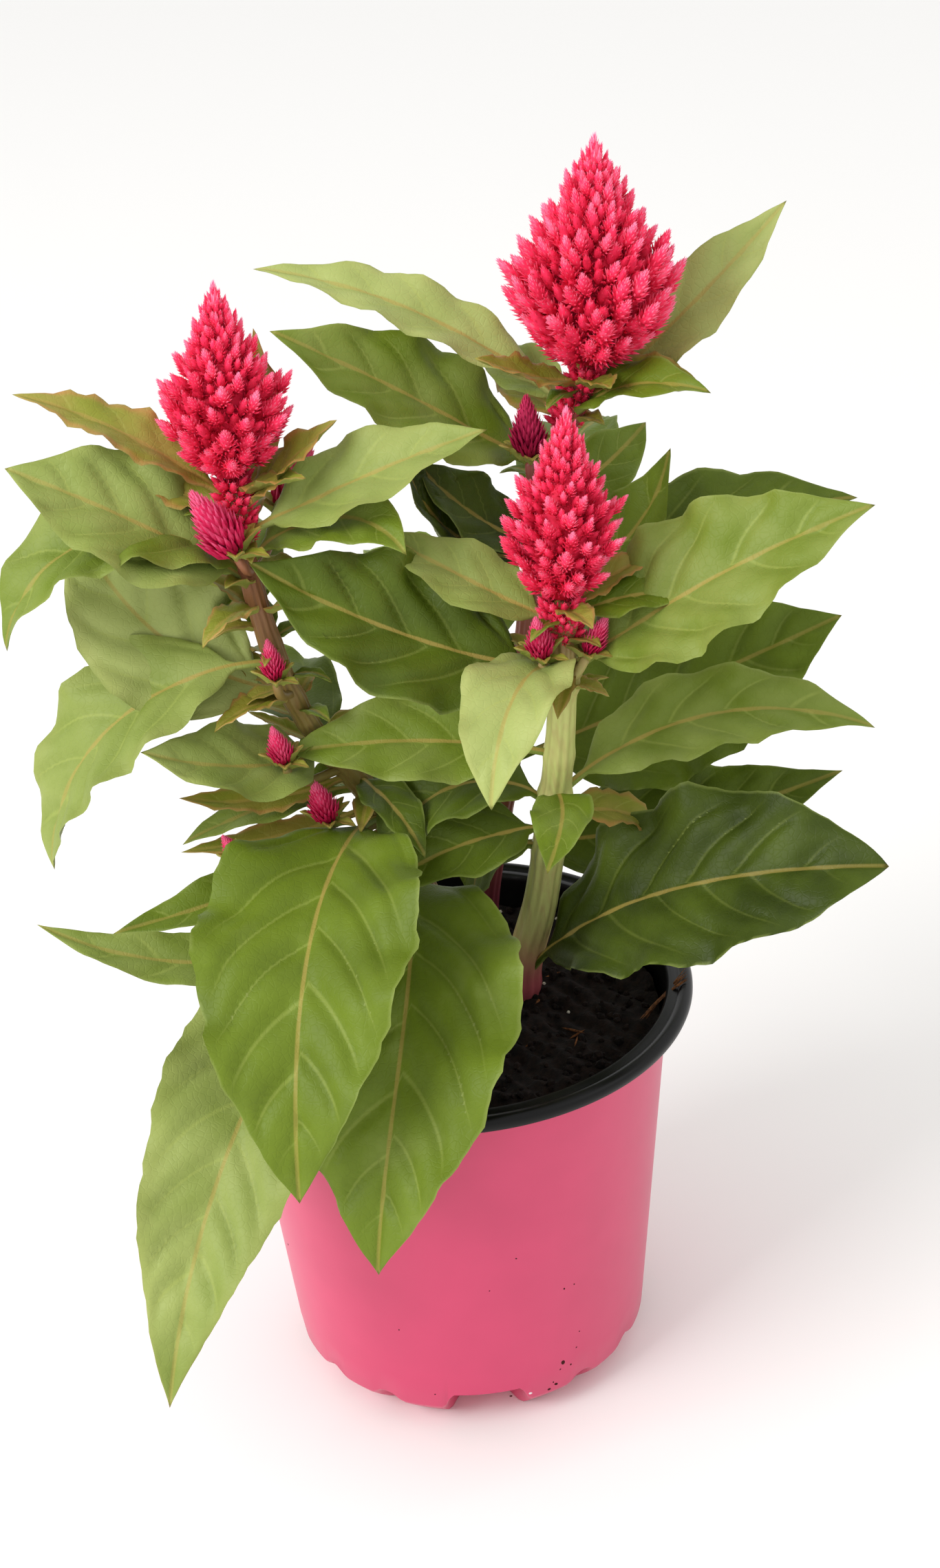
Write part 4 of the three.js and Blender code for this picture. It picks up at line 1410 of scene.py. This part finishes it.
FRONT_LINE = Line(
    [(18, 8, 97), (24, 2, 127), (27, -4, 150), (30, -12, 180), (31, -18, 205), (31, -20, 215)], 4.6, 2.8)
BACK_LINE = Line(
    [(10, 36, 100), (16, 32, 137), (25, 26, 191), (32, 20, 231), (38, 14, 250), (41, 12, 257)], 3.4, 2.0)
LEFT_LINE = Line(
    [(0, 18, 105), (-5, 13, 126), (-17, 4, 159), (-29, -4, 183), (-35, -8, 205), (-39, -8, 231),
     (-40, -6, 243)], 3.2, 2.0)

# Each leaf's height, bearing, rise, droop, turn, length, width, roll, and age with its painted shade
FRONT_LEAVES = [
    Leaf(99, -50, 57, 56, 40, 115, 46, 40, AgeAndShade.OLD, widest=0.5),
    Leaf(142, -175, 36, 190, -9, 38, 16, -20, AgeAndShade.DEEP),
    Leaf(149, -153, 18, 46, -8, 48, 22, -25, AgeAndShade.DEEP),
    Leaf(160, -75, 22, 60, -45, 32, 15, 0, AgeAndShade.GROWN),
    Leaf(152, 10, 17, 75, 0, 32, 12, 20, AgeAndShade.BRACT),
    Leaf(155, 179, 55, 150, 16, 57, 22, -25, AgeAndShade.DEEP),
    Leaf(158, 10, 43, 66, -18, 82, 24, 30, AgeAndShade.MATURE),
    Leaf(172, 180, 17, 25, 0, 64, 24, -40, AgeAndShade.MATURE),
    Leaf(194, -20, 44, 22, 12, 84, 36, 40, AgeAndShade.MATURE),
    Leaf(196, -171, 17, -18, -15, 76, 38, -40, AgeAndShade.DEEP),
    Leaf(195, -118, 50, 130, 7, 56, 24, 0, AgeAndShade.PALE),
    Leaf(209, 168, 28, 10, -22, 47, 18, -25, AgeAndShade.YOUNG),
    Leaf(210, 0, 33, 50, 0, 32, 14, 20, AgeAndShade.GROWN),
    Leaf(194, 155, 59, 58, 17, 22, 6, 0, AgeAndShade.BRACT),
    Leaf(192, -48, 35, 60, 20, 14, 6, 0, AgeAndShade.BRACT),
    Leaf(212, 25, 35, 25, -12, 28, 9, 15, AgeAndShade.BRACT),
    Leaf(213, -68, 30, 40, 0, 17, 8, 0, AgeAndShade.BRACT),
    Leaf(213, 105, 28, 10, 0, 23, 10, 0, AgeAndShade.BRACT),
]
BACK_LEAVES = [
    Leaf(124, -20, 9, -12, 20, 91, 28, 45, AgeAndShade.DEEP),
    Leaf(149, -13, 27, 5, 17, 91, 48, 50, AgeAndShade.GROWN),
    Leaf(140, 95, 30, 60, 10, 80, 34, 0, AgeAndShade.DEEP),
    Leaf(158, 50, 30, 50, -10, 78, 32, 0, AgeAndShade.DEEP),
    Leaf(164, 180, 21, 120, 16, 57, 26, -20, AgeAndShade.OLD),
    Leaf(178, 118, 32, 55, 10, 74, 32, 0, AgeAndShade.GROWN),
    Leaf(191, 0, 34, 30, -5, 84, 30, 35, AgeAndShade.DEEP),
    Leaf(199, -30, 15, -65, 28, 54, 22, 40, AgeAndShade.GROWN),
    Leaf(206, -160, 14, -66, 12, 51, 26, -40, AgeAndShade.OLD),
    Leaf(210, -165, 29, -27, -6, 39, 20, -40, AgeAndShade.OLD),
    Leaf(214, 75, 32, 50, -10, 60, 24, 0, AgeAndShade.GROWN),
    Leaf(220, 30, 17, -5, 20, 36, 16, 40, AgeAndShade.GROWN),
    Leaf(229, -170, 40, 14, -17, 74, 30, -35, AgeAndShade.MATURE),
    Leaf(243, -49, 54, 67, 25, 43, 16, 20, AgeAndShade.GROWN),
    Leaf(245, 131, 14, 16, -6, 27, 12, -20, AgeAndShade.BRACT),
    Leaf(246, 12, 34, -8, 10, 68, 20, 35, AgeAndShade.PALE),
    Leaf(247, 162, 41, 37, 0, 82, 18, -20, AgeAndShade.PALE),
    Leaf(249, 139, 18, 15, -18, 33, 14, -25, AgeAndShade.YOUNG),
    Leaf(249, -7, 44, 68, -12, 31, 12, 20, AgeAndShade.BRACT),
    Leaf(230, 158, 38, -17, -7, 19, 4, 0, AgeAndShade.BRACT),
    Leaf(254, -150, 18, -14, 0, 31, 11, -20, AgeAndShade.BRACT),
    Leaf(254, -75, 22, 10, 0, 20, 9, 0, AgeAndShade.BRACT),
    Leaf(254, 80, 24, 0, 0, 27, 11, 0, AgeAndShade.BRACT),
]
LEFT_LEAVES = [
    Leaf(123, -155, -22, -47, -41, 101, 18, -30, AgeAndShade.MATURE),
    Leaf(128, -126, 4, 74, 8, 152, 42, -20, AgeAndShade.YOUNG),
    Leaf(136, -83, 10, 90, -36, 118, 57, 0, AgeAndShade.GROWN),
    Leaf(142, -158, -8, 0, -12, 72, 16, -30, AgeAndShade.GROWN),
    Leaf(149, -111, 26, 109, 16, 119, 52, 0, AgeAndShade.GROWN),
    Leaf(153, -165, -12, -12, -12, 48, 9, -20, AgeAndShade.RUSTY),
    Leaf(159, -170, 5, 30, 0, 46, 12, -20, AgeAndShade.MATURE),
    Leaf(164, -161, -15, -30, -20, 42, 11, -20, AgeAndShade.RUSTY),
    Leaf(168, 120, 30, 60, 10, 66, 28, 0, AgeAndShade.DEEP),
    Leaf(172, -133, 7, -22, -32, 52, 24, -30, AgeAndShade.YOUNG),
    Leaf(190, 177, 10, -58, -34, 68, 36, -50, AgeAndShade.PALE),
    Leaf(199, -173, 7, 94, -9, 85, 32, -30, AgeAndShade.YOUNG),
    Leaf(208, 110, 35, 50, 0, 56, 24, 0, AgeAndShade.GROWN),
    Leaf(216, -175, 70, 150, 8, 78, 30, -20, AgeAndShade.MATURE),
    Leaf(219, -163, 43, 23, -32, 62, 34, -35, AgeAndShade.YOUNG),
    Leaf(224, 15, 50, 80, -75, 46, 20, 30, AgeAndShade.MATURE),
    Leaf(231, -5, 28, 10, 0, 61, 22, 30, AgeAndShade.YOUNG),
    Leaf(236, -8, 46, 8, 12, 32, 15, 10, AgeAndShade.BRACT),
    Leaf(236, 165, 23, 12, -12, 27, 12, -20, AgeAndShade.BRACT),
    Leaf(238, 169, 44, 33, -5, 56, 15, -15, AgeAndShade.BRACT),
    Leaf(162, -62, 18, 70, 10, 32, 13, 0, AgeAndShade.DEEP),
    Leaf(170, -174, 4, -20, -10, 28, 8, 0, AgeAndShade.RUSTY),
    Leaf(172, 165, 25, 0, 0, 22, 6, 0, AgeAndShade.BRACT),
    Leaf(182, 157, 70, 89, 15, 33, 9, -10, AgeAndShade.BRACT),
    Leaf(188, -140, 30, 60, -10, 24, 9, 0, AgeAndShade.RUSTY),
    Leaf(203, 112, 70, 130, 60, 26, 11, 0, AgeAndShade.GROWN),
    Leaf(212, -120, 45, 95, -25, 22, 9, 0, AgeAndShade.BRACT),
    Leaf(205, 151, 76, 79, 27, 28, 8, 0, AgeAndShade.BRACT),
    Leaf(236, 145, 24, 29, 0, 20, 9, -15, AgeAndShade.BRACT),
    Leaf(238, 75, 16, -95, -30, 44, 13, 0, AgeAndShade.BRACT),
    Leaf(241, -35, 25, 10, 0, 22, 10, 0, AgeAndShade.BRACT),
]


@dataclass
class Celosia:
    """The whole plant: its three leafy stems, the plumes at their ends and the side buds."""

    plumes: list[Plume] = field(default_factory=lambda: [
        Plume("Plume_back", (41.6, 11.8, 258.2), (44, 12, 311.5), 22.5, 20, 14),
        Plume("Plume_left", (-40.1, -5.9, 244), (-39.5, -6, 290), 17.5, 16, 12, seed=4),
        Plume("Plume_front", (31.1, -20.1, 216), (34, -20, 262), 16, 16, 12, seed=5),
    ])
    front_buds: list[Bud] = field(default_factory=lambda: [
        Bud("Bud_front", 192, (26, -25, 204.5), (25, -26, 215), 4.5),
        Bud("Bud_front_right", 190, (36.5, -20, 202.5), (41, -21, 212), 3.5),
    ])
    back_buds: list[Bud] = field(default_factory=lambda: [
        Bud("Bud_back", 224, (26.5, 10, 238), (26.5, 10, 253), 5.5),
    ])
    left_buds: list[Bud] = field(default_factory=lambda: [
        Bud("Bud_left_high", 220, (-30, 5, 231), (-22.5, 6, 246), 6.5),
        Bud("Bud_left_pink", 222, (-40, -15.5, 230), (-48, -17, 246), 7),
        Bud("Bud_left_mid", 190, (-34, -15, 198.5), (-35, -16, 209), 3.5),
        Bud("Bud_left_low", 166, (-34, -14, 176.5), (-36, -15, 186.5), 4),
        Bud("Bud_left_inner", 148, (-25.5, -8, 157), (-28, -9, 168.5), 5),
        Bud("Bud_left_outer", 145, (-46.5, -14, 151), (-50, -15, 159), 3.5),
    ])

    def dress(self) -> None:
        """Builds and shows the stems, the plumes and the buds."""
        full, small = Spikelet(florets=56), Spikelet(florets=22)
        blade = LeafBlade().make()
        open_florets = PlumeFloret("open celosia florets").make()
        closed_florets = PlumeFloret(
            "closed celosia florets", heart="#860c2a", body="#cc1d52", point="#f5719c").make()
        dark_florets = PlumeFloret(
            "dark celosia florets", heart="#5c0a20", body="#9c1440", point="#d23a68").make()
        stems = [
            ("front", FRONT_LINE, FRONT_LEAVES, Sprigs(8, 188, 212), self.front_buds, Neck(9), StemSkin(
                "thick celosia stem", "#9c4a50", "#bcc074", "#8f6440", 98, 124, 186, 214)),
            ("back", BACK_LINE, BACK_LEAVES, Sprigs(8, 222, 254), self.back_buds, Neck(15), StemSkin(
                "red celosia stem", "#5f202f", "#7a4a34", "#8f4b42", 98, 150, 150, 240)),
            ("left", LEFT_LINE, LEFT_LEAVES, Sprigs(26, 150, 238), self.left_buds, Neck(13), StemSkin(
                "brown celosia stem", "#74372c", "#7d7038", "#8f5a3f", 98, 140, 175, 235)),
        ]
        for place, line, leaves, sprigs, buds, neck, finish in stems:
            stalks = [bud.stalk(line) for bud in buds]
            sepals = [sepal for bud in buds for sepal in bud.sepals()]
            LeafyStem(
                f"Leafy_stem_{place}", line, leaves, sprigs, stalks, sepals, neck.build(line, small), finish,
            ).dress(blade, open_florets)
        for plume in self.plumes:
            plume.dress(full, small, open_florets)
        for bud in self.front_buds + self.left_buds:
            bud.dress(closed_florets)
        for bud in self.back_buds:
            bud.dress(dark_florets)


# The studio

@dataclass
class Studio:
    """A plain pale floor, soft light and a camera that stands where the photographer's stood."""

    floor_size: float = 8.0
    target: Point = (8.3, 0.0, 160.3)
    distance: float = 654.0
    elevation: float = 28.7
    camera_roll: float = -3.7
    lens: float = 63.2
    surround: float = 0.96
    aim_height: float = 0.16

    def floor(self) -> None:
        """Adds the pale floor."""
        bpy.ops.mesh.primitive_plane_add(size=self.floor_size, location=(0, 0, 0))
        floor = bpy.context.active_object
        floor.name = "Floor"
        coat(BackdropPaper("matte white backdrop paper").make(), floor)

    def lights(self) -> None:
        """Adds an even white surround, a soft main light and a weaker one opposite."""
        world = bpy.data.worlds.new("Pale studio")
        bpy.context.scene.world = world
        world.use_nodes = True
        background = world.node_tree.nodes["Background"]
        background.inputs["Color"].default_value = (1.0, 1.0, 1.0, 1.0)
        background.inputs["Strength"].default_value = self.surround
        for name, place, size, power in (
            ("Main light", (-1.05, -0.75, 1.0), 0.8, 17.0),
            ("Side light", (1.1, -0.35, 0.9), 0.7, 0.8),
        ):
            lamp = bpy.data.lights.new(name, "AREA")
            lamp.size = size
            lamp.energy = power
            holder = bpy.data.objects.new(name, lamp)
            holder.location = place
            aim = Vector((0, 0, self.aim_height)) - Vector(place)
            holder.rotation_euler = aim.to_track_quat("-Z", "Y").to_euler()
            bpy.context.scene.collection.objects.link(holder)

    def camera(self) -> None:
        """Adds the camera and makes it the scene's."""
        elevation = math.radians(self.elevation)
        roll = math.radians(self.camera_roll)
        forward = Vector((0, math.cos(elevation), -math.sin(elevation)))
        level = Vector((1, 0, 0))
        upright = level.cross(forward)
        right = level * math.cos(roll) + upright * math.sin(roll)
        up = upright * math.cos(roll) - level * math.sin(roll)
        lens = bpy.data.cameras.new("Camera")
        lens.lens = self.lens
        lens.sensor_width = 36.0
        lens.clip_start = 0.01
        lens.clip_end = 50.0
        holder = bpy.data.objects.new("Camera", lens)
        turn = Matrix((right, up, -forward)).transposed().to_4x4()
        place = (Vector(self.target) - forward * self.distance) * MM
        holder.matrix_world = Matrix.Translation(place) @ turn
        bpy.context.scene.collection.objects.link(holder)
        bpy.context.scene.camera = holder

    def build(self) -> None:
        """Adds the floor, the lights and the camera."""
        bpy.context.scene.view_settings.view_transform = "Standard"
        self.floor()
        self.lights()
        self.camera()


def main() -> None:
    """Builds the potted celosia and its studio."""
    logging.basicConfig(level=logging.INFO, format="%(name)s: %(message)s")
    Pot().dress()
    Soil().dress()
    Celosia().dress()
    Studio().build()


if __name__ == "__main__":
    main()
